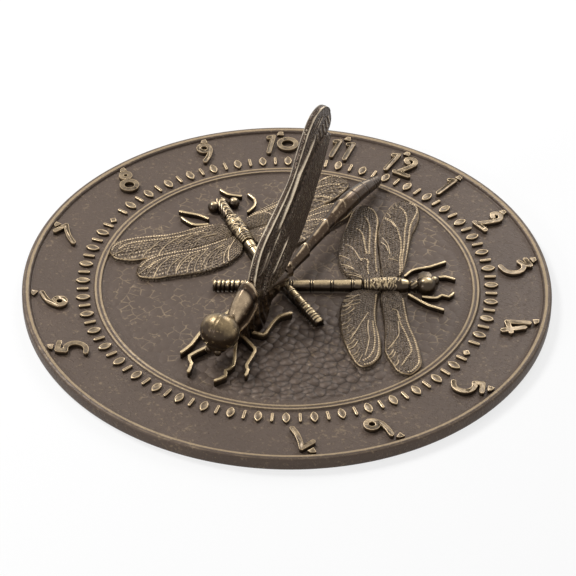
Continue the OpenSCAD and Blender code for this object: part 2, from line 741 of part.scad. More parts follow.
module gnomon_fore_wings() {
    color([0.42, 0.37, 0.32]) folded_wing(fore_style, -style_t / 2, style_t);
}
module gnomon_hind_wings() {
    color([0.38, 0.33, 0.29]) {
        folded_wing(hind_style, style_t / 2, hind_t);
        folded_wing(hind_style, -style_t / 2 - hind_t, hind_t);
    }
}

foot_paths = [
    [[6, -51.6], [13.6, -50], [13.9, -46], [13, -39.4], [13.2, -31.3], [17.4, -25.6]],
    [[5, -57.6], [13, -61.5], [17.2, -65.1], [19.2, -77.7], [22, -81], [23.2, -85.2]],
    [[3, -61.6], [7.6, -70.9], [13.1, -81.5], [11.6, -87.7], [14, -91.5], [11, -97.8]],
    [[-3, -61.6], [-7.6, -75.4], [-12.2, -87.5], [-7.6, -92.2], [-5.6, -98.9]],
    [[-5, -57.6], [-15, -61], [-17.5, -66.6], [-16.4, -78.2], [-17.6, -86.9]],
    [[-6, -51.6], [-13.6, -50], [-13.9, -46], [-13, -39.4], [-13.2, -31.3], [-17.4, -25.6]]];
module gnomon_legs() {
    color([0.6, 0.5, 0.36])
    difference() {
        translate([0, 0, field_h]) linear_extrude(foot_rise)
            for (p = foot_paths) line(smooth_path(planned(p), 2), leg_w);
        boat(chest_front_y - seat_gap, foot_end_y, chest_mid_y, chest_half + 2 * seat_gap,
             field_h - cut_past, foot_rise + 2 * cut_past);
    }
}

// Two screws from below hold the gnomon, each on a washer

module gnomon_screws() {
    color([0.7, 0.7, 0.68])
    for (y = screw_y) translate([0, y, seat_z - washer_t]) {
        translate([0, 0, -screw_head_h]) difference() {
            cylinder(h = screw_head_h, r = screw_head_r, $fn = 40);
            translate([-screw_head_r - 1, -0.6, -1]) cube([2 * screw_head_r + 2, 1.2, 2]);
        }
        cylinder(h = washer_t + seat_web + screw_reach, r = screw_r, $fn = 32);
    }
}
module gnomon_washers() {
    color([0.6, 0.6, 0.6])
    for (y = screw_y) translate([0, y, seat_z - washer_t]) difference() {
        cylinder(h = washer_t, r = screw_head_r + 0.5, $fn = 40);
        translate([0, 0, -cut_past])
            cylinder(h = washer_t + 2 * cut_past, r = screw_r + plate_clear, $fn = 32);
    }
}

dial_plate();
hour_numerals();
hour_pointers();
ornament_band();
band_studs();
east_head();
east_thorax();
east_abdomen();
east_fore_wings();
east_hind_wings();
east_legs();
west_head();
west_thorax();
west_abdomen();
west_fore_wings();
west_hind_wings();
west_legs();
gnomon_head();
gnomon_thorax();
gnomon_tail();
gnomon_fore_wings();
gnomon_hind_wings();
gnomon_legs();
gnomon_screws();
gnomon_washers();
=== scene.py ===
import math

import bmesh
import bpy
import numpy as np
from mathutils import Matrix, Vector


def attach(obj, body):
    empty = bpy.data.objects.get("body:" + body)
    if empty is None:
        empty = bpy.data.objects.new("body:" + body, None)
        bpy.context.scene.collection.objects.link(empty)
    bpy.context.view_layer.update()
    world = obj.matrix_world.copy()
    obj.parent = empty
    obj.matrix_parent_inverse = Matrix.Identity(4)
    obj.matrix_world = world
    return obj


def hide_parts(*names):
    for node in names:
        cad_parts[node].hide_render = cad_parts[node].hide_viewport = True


# Cast garden sundial with relief dragonflies and a dragonfly gnomon.
# Lengths in the dictionaries are millimetres, and everything is turned into metres when it becomes a mesh.
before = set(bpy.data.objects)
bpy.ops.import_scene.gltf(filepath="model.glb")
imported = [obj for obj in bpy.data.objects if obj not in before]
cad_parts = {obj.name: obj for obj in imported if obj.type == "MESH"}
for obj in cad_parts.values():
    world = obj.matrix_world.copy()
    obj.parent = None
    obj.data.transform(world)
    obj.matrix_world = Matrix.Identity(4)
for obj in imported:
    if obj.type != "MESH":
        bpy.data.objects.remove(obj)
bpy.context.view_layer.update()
mm = 0.001
fieldZ = 6.0


def addThing(name, data):
    thing = bpy.data.objects.new(name, data)
    bpy.context.scene.collection.objects.link(thing)
    return thing


# Camera

camera = {
    "lens": 187.5,
    "elevation": 38.94,
    "turn": 29.7,
    "roll": 0.868,
    "offset": (0.6, 2.5, 1732.6),  # right, up and back from the plate's centre
}


def makeCamera(setup):
    turn = Matrix.Rotation(math.radians(setup["turn"]), 4, "Z")
    tilt = Matrix.Rotation(math.radians(90 - setup["elevation"]), 4, "X")
    roll = Matrix.Rotation(math.radians(setup["roll"]), 4, "Z")
    place = Matrix.Translation(Vector(setup["offset"]) * mm)
    data = bpy.data.cameras.new("camera")
    data.lens = setup["lens"]
    data.sensor_width = 36
    data.clip_start = 0.05
    thing = addThing("camera", data)
    thing.matrix_world = turn @ tilt @ roll @ place
    bpy.context.scene.camera = thing


makeCamera(camera)
print("camera placed")

# Node helpers for the materials: a wire is a node's output that can be reckoned with like a number


class Wire:
    def __init__(self, socket):
        self.socket = socket
        self.tree = socket.id_data

    def __add__(self, other):
        return mathNode("ADD", self, other)

    def __sub__(self, other):
        return mathNode("SUBTRACT", self, other)

    def __mul__(self, other):
        return mathNode("MULTIPLY", self, other)


def plug(value, target):
    if isinstance(value, Wire):
        value.tree.links.new(value.socket, target)
    else:
        target.default_value = value


def newNode(tree, kind, inputs, **settings):
    node = tree.nodes.new(kind)
    for name, value in settings.items():
        setattr(node, name, value)
    for key, value in inputs.items():
        plug(value, node.inputs[key])
    return node


def treeOf(*values):
    return next(value.tree for value in values if isinstance(value, Wire))


def mathNode(operation, *values, kind="ShaderNodeMath", output=0):
    node = newNode(treeOf(*values), kind, dict(enumerate(values)), operation=operation)
    return Wire(node.outputs[output])


def vectorNode(operation, *values, output=0):
    return mathNode(operation, *values, kind="ShaderNodeVectorMath", output=output)


def most(a, b):
    return mathNode("MAXIMUM", a, b)


def noise(place, scale, detail, roughness=0.55, output="Fac"):
    inputs = {"Vector": place, "Scale": scale, "Detail": detail, "Roughness": roughness}
    return Wire(newNode(place.tree, "ShaderNodeTexNoise", inputs).outputs[output])


# Distance to the centre or the seam of cells of the given size in millimetres
def cellDistance(place, size, randomness, feature, dimensions):
    inputs = {"Vector": place, "Scale": mathNode("DIVIDE", 1 / mm, size), "Randomness": randomness}
    node = newNode(place.tree, "ShaderNodeTexVoronoi", inputs, feature=feature, voronoi_dimensions=dimensions)
    return Wire(node.outputs["Distance"])


def step(value, low, high):
    inputs = {"Value": value, "From Min": low, "From Max": high}
    node = newNode(value.tree, "ShaderNodeMapRange", inputs, interpolation_type="SMOOTHSTEP")
    return Wire(node.outputs["Result"])


def mixColour(factor, a, b, mode="MIX"):
    inputs = {0: factor, 6: a, 7: b}
    node = newNode(treeOf(factor, a, b), "ShaderNodeMix", inputs, data_type="RGBA", blend_type=mode)
    return Wire(node.outputs[2])


# A node group, with the wires that enter it and the sockets that leave it
def newGroup(name, inputs, outputs):
    tree = bpy.data.node_groups.new(name, "ShaderNodeTree")
    for way, sockets in (("INPUT", inputs), ("OUTPUT", outputs)):
        for title, kind in sockets.items():
            tree.interface.new_socket(name=title, in_out=way, socket_type="NodeSocket" + kind)
    enter = tree.nodes.new("NodeGroupInput").outputs
    return tree, {title: Wire(enter[title]) for title in inputs}, tree.nodes.new("NodeGroupOutput").inputs


def newMaterial(name):
    material = bpy.data.materials.new(name)
    material.use_nodes = True
    tree = material.node_tree
    return material, tree, tree.nodes["Principled BSDF"].inputs


def objectPlace(tree):
    return Wire(tree.nodes.new("ShaderNodeTexCoord").outputs["Object"])


# The bronze stain: dark in the hollows, rubbed back to tan on whatever stands proud, with painted highlights
# and painted shade carried in the same rub


def makeStain():
    tree, enter, leave = newGroup(
        "rubbedStain",
        {"Place": "Vector", "RubAndShading": "Float", "Stain": "Color", "Tan": "Color", "Flecks": "Float",
         "Polish": "Float"},
        {"Color": "Color", "Roughness": "Float", "Height": "Float"})
    cloud = noise(enter["Place"], 26, 3)
    patch = noise(enter["Place"], 190, 4)
    grain = noise(enter["Place"], 900, 3, 0.7)
    sand = noise(enter["Place"], 420, 2, 0.5)
    rubbed = step(enter["RubAndShading"] + patch * 0.6 - 0.3, 0.3, 0.9) * (grain * 0.5 + 0.7)
    fleck = step(sand + cloud * 0.3 - 0.15, 0.6, 0.76) * enter["Flecks"]
    # A negative rub darkens the stain: patina in crevices, and painted shade at wall feet and on sides turned
    # from the light
    patinaAndShade = step(enter["RubAndShading"], -1.0, 0.0) * 0.7 + 0.3
    shade = (cloud * 0.4 + 0.8) * patinaAndShade
    tinted = mixColour(1.0, enter["Stain"], shade, "MULTIPLY")
    plug(mixColour(mathNode("MINIMUM", rubbed + fleck, 1.0), tinted, enter["Tan"]), leave["Color"])
    plug(enter["Polish"] + grain * 0.14 - rubbed * 0.06, leave["Roughness"])
    plug(grain * 0.25 + sand * 0.75, leave["Height"])
    return tree


stainGroup = makeStain()

# Hammered field: rounded cells, deep and dark in front of the gnomon, faint with tan ridges elsewhere


def makeHammer():
    tree, enter, leave = newGroup("hammeredCells", {"Place": "Vector", "Size": "Float"},
                                  {"Height": "Float", "Seam": "Float"})
    wander = noise(enter["Place"], 160, 2, 0.5, "Color")
    bent = vectorNode("MULTIPLY_ADD", wander, (0.0022, 0.0022, 0), enter["Place"])
    middle = cellDistance(bent, enter["Size"], 0.85, "F1", "2D")
    edge = cellDistance(bent, enter["Size"], 0.85, "DISTANCE_TO_EDGE", "2D")
    plug(middle * middle * -2.2 + 1.0, leave["Height"])
    plug(step(edge, 0.17, 0.02), leave["Seam"])
    return tree


hammerGroup = makeHammer()

# Fine cells between the veins of a wing


def makeCells():
    tree, enter, leave = newGroup("wingCells", {"Place": "Vector", "Size": "Float"},
                                  {"Height": "Float", "Dots": "Float"})
    knob = step(cellDistance(enter["Place"], enter["Size"], 0.75, "F1", "3D"), 0.6, 0.15)
    plug(knob, leave["Height"])
    plug(knob * step(noise(enter["Place"], 150, 2), 0.3, 0.58), leave["Dots"])
    return tree


cellGroup = makeCells()

# Each bronze names what it has otherwise than the plain one
plainBronze = {"flecks": 0.1, "polish": 0.28, "metal": 0.8, "grain": 0.08, "coat": 0.15, "hammer": False,
               "cells": 0.0, "cellSize": 1.4, "slot": "bronze_gnomon"}
stains = {
    "bronzeField": {"stain": (0.088, 0.061, 0.045), "tan": (0.34, 0.25, 0.15), "flecks": 0.34, "polish": 0.46,
                    "metal": 0.3, "grain": 0.07, "coat": 0.05, "hammer": True, "slot": "bronze_field"},
    "bronzeRaised": {"stain": (0.08, 0.055, 0.035), "tan": (0.6, 0.45, 0.27), "metal": 0.6,
                     "slot": "bronze_raised"},
    "bronzeWing": {"stain": (0.09, 0.063, 0.042), "tan": (0.6, 0.45, 0.27), "polish": 0.36, "metal": 0.5,
                   "grain": 0.05, "coat": 0.1, "cells": 0.42, "slot": "bronze_wing"},
    "bronzeInsect": {"stain": (0.05, 0.033, 0.019), "tan": (0.66, 0.5, 0.29), "flecks": 0.12, "polish": 0.24,
                     "metal": 0.7, "coat": 0.2, "slot": "bronze_insect"},
    "bronzeGnomon": {"stain": (0.056, 0.034, 0.019), "tan": (0.56, 0.42, 0.27), "flecks": 0.25,
                     "polish": 0.22, "grain": 0.05},
    "bronzeHead": {"stain": (0.05, 0.032, 0.018), "tan": (0.52, 0.38, 0.2), "flecks": 0.6, "polish": 0.27,
                   "metal": 0.75, "grain": 0.12},
    # The blade's pale tan also paints its highlights
    "bronzeBlade": {"stain": (0.074, 0.051, 0.036), "tan": (0.78, 0.65, 0.48), "flecks": 0.08, "polish": 0.24,
                    "grain": 0.03, "cells": 0.5},
}
for look in stains.values():
    for key, value in plainBronze.items():
        look.setdefault(key, value)

hammered = {
    "size": 5.6,
    "ringInner": 104.0,
    "centre": (46.0, -60.0),
    "core": 26.0,
    "reach": 62.0,
    "deep": 0.75,
    "faint": 0.16,
    "ridgeRub": 0.52,
    "darkSeam": (0.045, 0.032, 0.024, 1),
    "sandRub": 0.42,
    "sandRise": 0.12,
}


def flatDistance(place, centre):
    flat = vectorNode("MULTIPLY", place, (1, 1, 0))
    return vectorNode("DISTANCE", flat, Vector(centre + (0,)) * mm, output="Value")


def makeBronze(name, look):
    material, tree, shader = newMaterial(name)
    place = objectPlace(tree)
    rubAndShading = Wire(newNode(tree, "ShaderNodeAttribute", {}, attribute_name="rubAndShading").outputs["Fac"])
    stain = newNode(tree, "ShaderNodeGroup", {}, node_tree=stainGroup)
    for key, value in {"Place": place, "Stain": look["stain"] + (1,), "Tan": look["tan"] + (1,),
                       "Flecks": look["flecks"], "Polish": look["polish"]}.items():
        plug(value, stain.inputs[key])
    colour = Wire(stain.outputs["Color"])
    height = Wire(stain.outputs["Height"]) * look["grain"]
    if look["cells"]:
        cells = newNode(tree, "ShaderNodeGroup", {}, node_tree=cellGroup)
        plug(place, cells.inputs["Place"])
        plug(look["cellSize"], cells.inputs["Size"])
        free = step(rubAndShading, 0.5, 0.2)
        rubAndShading = most(rubAndShading, Wire(cells.outputs["Dots"]) * free * (look["cells"] * 1.15))
        height = height + Wire(cells.outputs["Height"]) * free * look["cells"]
    if look["hammer"]:
        cells = newNode(tree, "ShaderNodeGroup", {}, node_tree=hammerGroup)
        plug(place, cells.inputs["Place"])
        plug(hammered["size"], cells.inputs["Size"])
        seam = Wire(cells.outputs["Seam"])
        up = Wire(newNode(tree, "ShaderNodeSeparateXYZ", {0: place}).outputs["Z"])
        onTop = step(up, 0.9 * fieldZ * mm, 0.98 * fieldZ * mm)
        edge = hammered["ringInner"] * mm
        inside = step(flatDistance(place, (0.0, 0.0)), edge, edge - 5 * mm) * onTop
        deep = step(flatDistance(place, hammered["centre"]), hammered["reach"] * mm, hammered["core"] * mm)
        depth = deep * (hammered["deep"] - hammered["faint"]) + hammered["faint"]
        height = height + Wire(cells.outputs["Height"]) * depth * inside
        patch = step(noise(place, 120, 3), 0.33, 0.56)
        ridge = seam * (inside - deep) * patch * hammered["ridgeRub"]
        streaks = noise(vectorNode("MULTIPLY", place, (1.0, 2.2, 1.0)), 330, 3, 0.6)
        sandy = step(streaks, 0.5, 0.66) * mathNode("SUBTRACT", 1.0, inside)
        rubAndShading = most(rubAndShading, most(ridge, sandy * hammered["sandRub"]))
        height = height + sandy * hammered["sandRise"]
        colour = mixColour(seam * deep * inside * 0.75, colour, hammered["darkSeam"])
    plug(rubAndShading, stain.inputs["RubAndShading"])
    bump = newNode(tree, "ShaderNodeBump", {"Strength": 1.0, "Distance": 1.6 * mm, "Height": height})
    for key, value in {"Base Color": colour, "Roughness": Wire(stain.outputs["Roughness"]),
                       "Metallic": look["metal"], "Coat Weight": look["coat"], "Coat Roughness": 0.16,
                       "Specular IOR Level": 0.3, "Normal": Wire(bump.outputs["Normal"])}.items():
        plug(value, shader[key])
    return material


bronzes = {name: makeBronze(name, look) for name, look in stains.items()}


def makeSteel():
    material, tree, shader = newMaterial("zincSteel")
    cloud = noise(objectPlace(tree), 900, 4)
    plug(mixColour(cloud, (0.4, 0.4, 0.38, 1), (0.62, 0.62, 0.6, 1)), shader["Base Color"])
    plug(cloud * 0.25 + 0.25, shader["Roughness"])
    plug(0.9, shader["Metallic"])
    return material


zincSteel = makeSteel()
print("materials made")

# Mesh helpers


def setRubAndShading(bm, values):
    layer = bm.verts.layers.float.get("rubAndShading") or bm.verts.layers.float.new("rubAndShading")
    for vert, value in zip(bm.verts, values):
        vert[layer] = float(value)


def finishPiece(bm, name, material, nodes, smooth=40):
    mesh = bpy.data.meshes.new(name)
    bm.to_mesh(mesh)
    bm.free()
    mesh.materials.append(bronzes[material])
    mesh.shade_smooth()
    mesh.set_sharp_from_angle(angle=math.radians(smooth))
    piece = addThing(name, mesh)
    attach(piece, "root")
    if nodes:
        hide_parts(*nodes)
    print(name, len(mesh.polygons), "faces")
    return piece


def closeDoubles(bm, distance=0.004 * mm):
    bmesh.ops.remove_doubles(bm, verts=bm.verts, dist=distance)
    bmesh.ops.dissolve_degenerate(bm, edges=bm.edges, dist=distance)


def closeHoles(bm):
    bmesh.ops.holes_fill(bm, edges=[e for e in bm.edges if e.is_boundary], sides=0)
    bmesh.ops.recalc_face_normals(bm, faces=bm.faces)


# A smooth curve through the points, evenly spaced along its length
def throughPoints(points, count):
    p = np.array(points, float)
    q = np.concatenate([2 * p[:1] - p[1:2], p, 2 * p[-1:] - p[-2:-1]])
    fine = []
    for k in range(len(q) - 3):
        a, b, c, d = q[k:k + 4]
        for t in np.arange(0, 1, 0.05):
            fine.append(0.5 * (2 * b + (c - a) * t + (2 * a - 5 * b + 4 * c - d) * t * t
                               + (3 * b - a - 3 * c + d) * t ** 3))
    fine.append(q[-2])
    fine = np.array(fine)
    run = np.concatenate([[0], np.cumsum(np.linalg.norm(np.diff(fine, axis=0), axis=1))])
    want = np.linspace(0, run[-1], count)
    return np.stack([np.interp(want, run, fine[:, k]) for k in range(fine.shape[1])], 1)


# A flat grid of vertices, with the (u, v) of each one between 0 and 1
def gridOver(uCount, vCount):
    bm = bmesh.new()
    bmesh.ops.create_grid(bm, x_segments=uCount, y_segments=vCount, size=0.5, calc_uvs=False)
    uv = np.array([(v.co.x + 0.5, v.co.y + 0.5) for v in bm.verts])
    return bm, uv


# Moves a grid to its points, gives it its rub, and merges what falls together
def shapeGrid(bm, points, rubAndShading):
    for vert, p in zip(bm.verts, points):
        vert.co = Vector(p) * mm
    setRubAndShading(bm, rubAndShading)
    closeDoubles(bm)


def addMesh(bm, other):
    mesh = bpy.data.meshes.new("part")
    other.to_mesh(mesh)
    other.free()
    bm.from_mesh(mesh)


def unit(x):
    return np.clip(x, 0, 1)


def bell(x, width):
    return np.exp(-(x / width) ** 2)


# Rises from nothing near the first end, and falls again near the last
def endTaper(along, first, last, near, far):
    return unit(np.minimum((along - first) / near, (last - along) / far)) ** 0.5


# Distance of each point to a path in the plane
def nearestOn(points, path):
    best = np.full(len(points), 1e9)
    for a, b in zip(path[:-1], path[1:]):
        ab = b - a
        t = unit(((points - a) @ ab) / max(ab @ ab, 1e-9))
        best = np.minimum(best, np.linalg.norm(points - a - t[:, None] * ab, axis=1))
    return best


# Distance of each point to the nearest of a row of beads along a path
def nearestBead(points, path, pitch):
    run = np.linalg.norm(np.diff(path, axis=0), axis=1).sum()
    spots = throughPoints(path, max(2, round(run / pitch) + 1))
    best = np.full(len(points), 1e9)
    for spot in spots:
        best = np.minimum(best, np.linalg.norm(points - spot, axis=1))
    return best


# Plate: one turned profile, with ribs under it and two screw holes

plate = {
    "radius": 152.4,
    "rimWidth": 5.0,
    "rimRise": 2.0,
    "ringRadius": 106.2,
    "ringWidth": 5.2,
    "ringRise": 1.35,
    "web": 3.2,
    "skirt": 4.2,
    "bossRadius": 11.0,
    "threadRadius": 2.55,
    "threadTop": 4.8,
    "rimRound": 2.2,
    "steps": 288,
    "ribCount": 6,
    "ribThickness": 2.6,
    "ribHeight": 2.4,
    "ribSink": 0.8,
    "ribOverlap": 1.4,
    "screws": (-57.0, -43.8),
    "screwHole": 2.6,
    "counterbore": 5.6,
    "seat": 3.6,
}


def makePlate(p):
    outer = p["radius"]
    inner = outer - p["rimWidth"]
    top = fieldZ + p["rimRise"]
    webZ = fieldZ - p["web"]
    ringIn = p["ringRadius"]
    ringOut = ringIn + p["ringWidth"]
    rise = p["ringRise"]
    hole = p["threadRadius"]
    boss = p["bossRadius"]
    wall = outer - p["skirt"]
    roof = p["threadTop"]
    profile = [(0, roof), (hole, roof), (hole, 0.6), (hole + 0.3, 0.4), (boss - 0.4, 0.4), (boss, 0.8),
               (boss + 0.2, webZ - 0.4), (boss + 0.8, webZ), (wall - 1, webZ), (wall - 0.2, webZ - 0.5),
               (wall, webZ - 1.2), (wall + 0.1, 0.2), (wall + 0.4, 0), (outer - 1.2, 0), (outer - 0.5, 0.3),
               (outer - 0.15, 1.0), (outer, 2.6)]
    half = p["rimWidth"] / 2
    bulge = p["rimRound"]
    for k in range(1, 21):
        a = math.pi * k / 21
        profile.append((outer - half + half * math.cos(a), top - bulge + bulge * math.sin(a) ** 0.75))
    profile += [(inner, fieldZ + 0.5), (inner - 0.15, fieldZ + 0.2), (inner - 0.6, fieldZ)]
    for k in range(1, 20):
        profile.append((inner - 0.6 + (ringOut + 0.5 - inner + 0.6) * k / 20, fieldZ))
    # Half of the ring's section, from its foot to the channel between its two lips
    lip = [(-0.4, 0), (0.1, 0.14), (0.6, rise - 0.3), (0.8, rise - 0.06), (1.05, rise), (1.45, rise),
           (1.75, rise - 0.08), (2.1, rise - 0.4)]
    profile += [(ringOut - x, fieldZ + z) for x, z in lip]
    profile += [(ringIn + x, fieldZ + z) for x, z in reversed(lip)]
    for k in range(1, 24):
        profile.append((ringIn * (1 - k / 24), fieldZ))
    profile.append((0, fieldZ))
    bm = bmesh.new()
    verts = [bm.verts.new((r * mm, 0, z * mm)) for r, z in profile]
    edges = [bm.edges.new(pair) for pair in zip(verts[:-1], verts[1:])]
    bmesh.ops.spin(bm, geom=verts + edges, cent=(0, 0, 0), axis=(0, 0, 1), angle=2 * math.pi,
                   steps=p["steps"], use_merge=True)
    bmesh.ops.remove_doubles(bm, verts=bm.verts, dist=1e-6)
    bmesh.ops.recalc_face_normals(bm, faces=bm.faces)
    # The crests are rubbed bright, and the corners beside the ring and at the foot of the rim's inner wall
    # get painted shade
    rubAndShading = []
    for v in bm.verts:
        r = math.hypot(v.co.x, v.co.y) / mm
        z = v.co.z / mm
        crest = 0.0
        if r > inner and z > fieldZ + 0.6:
            crest = 1.15 * bell(r - outer + 3.1, 0.95) + 0.5 * bell(r - outer + 1.0, 0.5)
        if r < ringOut + 0.2 and z > fieldZ + 0.05:
            crest = 1.0 if z > fieldZ + rise - 0.1 else 0.1
        # Painted shade: dark lines beside the ring's feet and at the foot of the rim
        if ringOut - 0.2 < r < ringOut + 0.45 or ringIn - 0.45 < r < ringIn + 0.2:
            crest = -0.7
        if inner - 0.65 < r < inner + 0.2 and z > fieldZ - 0.1:
            crest = -0.8
        rubAndShading.append(crest)
    setRubAndShading(bm, rubAndShading)
    return bm


def makeRibs(p):
    bm = bmesh.new()
    webZ = fieldZ - p["web"]
    length = p["radius"] - p["skirt"] - p["bossRadius"] + p["ribOverlap"]
    for k in range(p["ribCount"]):
        verts = bmesh.ops.create_cube(bm, size=1)["verts"]
        bmesh.ops.scale(bm, verts=verts, vec=(length * mm, p["ribThickness"] * mm, p["ribHeight"] * mm))
        middle = (p["bossRadius"] - p["ribSink"] + length / 2, 0, webZ - p["ribSink"])
        bmesh.ops.translate(bm, verts=verts, vec=Vector(middle) * mm)
        bmesh.ops.rotate(bm, verts=verts, cent=(0, 0, 0),
                         matrix=Matrix.Rotation(2 * math.pi * (k + 0.5) / p["ribCount"], 3, "Z"))
    return bm


# Takes the screw holes and their counterbores out of a mesh, and gives it back
def drill(bm, p):
    work = bpy.data.meshes.new("work")
    bm.to_mesh(work)
    body = addThing("work", work)
    cutters = []
    for y in p["screws"]:
        for radius, top in ((p["screwHole"], fieldZ + 1), (p["counterbore"], p["seat"])):
            tool = bmesh.new()
            bmesh.ops.create_cone(tool, cap_ends=True, segments=48, radius1=radius * mm, radius2=radius * mm,
                                  depth=(top + 1) * mm)
            bmesh.ops.translate(tool, verts=tool.verts, vec=(0, y * mm, (top - 1) / 2 * mm))
            mesh = bpy.data.meshes.new("drill")
            tool.to_mesh(mesh)
            tool.free()
            cutters.append(addThing("drill", mesh))
            cut = body.modifiers.new("drill", "BOOLEAN")
            cut.operation = "DIFFERENCE"
            cut.solver = "EXACT"
            cut.object = cutters[-1]
    done = bpy.data.meshes.new_from_object(body.evaluated_get(bpy.context.evaluated_depsgraph_get()))
    bm.clear()
    bm.from_mesh(done)
    for thing in [body] + cutters:
        bpy.data.objects.remove(thing)


def makeDial(p):
    bm = makePlate(p)
    drill(bm, p)
    ribs = makeRibs(p)
    drill(ribs, p)
    addMesh(bm, ribs)
    finishPiece(bm, "dialPlateCast", "bronzeField", ["dial_plate"], 50)


makeDial(plate)

# Trim that keeps the drawn outline and gets a softened, rubbed edge around a darker top

trim = {
    "foot": 0.3,
    "sharpAngle": 30,
    "channelDepth": 0.12,
    "footPatinaAndShade": -0.9,
    "crestRub": 1.05,
}


def softCopy(node, name, width, segments, material, channel=0.3, top=0.5, sharp=1.0):
    bm = bmesh.new()
    bm.from_mesh(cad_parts[node].data)
    bmesh.ops.remove_doubles(bm, verts=bm.verts, dist=1e-6)
    bmesh.ops.dissolve_limit(bm, angle_limit=math.radians(1), verts=bm.verts, edges=bm.edges)
    floorZ = (fieldZ + trim["foot"]) * mm
    sharpAngle = math.radians(trim["sharpAngle"])
    crest = [e for e in bm.edges if len(e.link_faces) == 2 and e.calc_face_angle(0) > sharpAngle
             and min(v.co.z for v in e.verts) > floorZ]
    bmesh.ops.bevel(bm, geom=crest, offset=width * mm, offset_type="OFFSET", segments=segments, profile=0.5,
                    affect="EDGES", clamp_overlap=True, material=-1)
    highest = max(v.co.z for v in bm.verts)
    # The foot of each wall is darkened: patina in the crease and painted shade
    setRubAndShading(bm, [trim["footPatinaAndShade"] if v.co.z < floorZ
                else trim["crestRub"] * ((v.co.z - floorZ) / (highest - floorZ)) ** sharp
                for v in bm.verts])
    if channel:
        tops = [f for f in bm.faces if f.normal.z > 0.95]
        bmesh.ops.inset_region(bm, faces=tops, thickness=channel * mm, depth=-trim["channelDepth"] * mm,
                               use_even_offset=True, use_boundary=True)
        layer = bm.verts.layers.float["rubAndShading"]
        for v in {v for f in tops for v in f.verts}:
            v[layer] = top
    return finishPiece(bm, name, material, [node], 45)


softCopy("hour_numerals", "numeralsCast", 0.6, 3, "bronzeRaised")
softCopy("hour_pointers", "pointersCast", 0.4, 2, "bronzeRaised")
softCopy("ornament_band", "leafBandCast", 0.4, 2, "bronzeRaised", 0.22, 0.45)
softCopy("band_studs", "bandStudsCast", 0.4, 2, "bronzeRaised")
print("plate and scale made")

# Relief dragonflies: s runs along the body to the head, t to the body's left.
# The west insect's abdomen comes out again beyond the east one, as the stub.

insects = {
    "east": {"heading": 30.7, "back": 4.5, "side": 1},
    "west": {"heading": 35.6, "back": 7.9, "side": -1},
    "stub": {"heading": 29.6, "back": 3.6, "side": -1},
}
axisZ = 8.3


def insectPoint(points, name):
    p = np.asarray(points, float)
    way = insects[name]
    turn = math.radians(way["heading"])
    x = p[:, 0] * math.cos(turn) - p[:, 1] * math.sin(turn)
    y = -way["back"] + p[:, 0] * math.sin(turn) + p[:, 1] * math.cos(turn)
    return np.stack([way["side"] * x, y, p[:, 2]], 1)


# Half width of the body at s, which the wing roots keep clear of
def bodyHalf(s):
    t = unit((s - 46) / 26.6)
    swell = 2.0 * np.sin(math.pi * t) ** 0.7
    return np.where(s < 46, 3.75, 3.3 + swell)


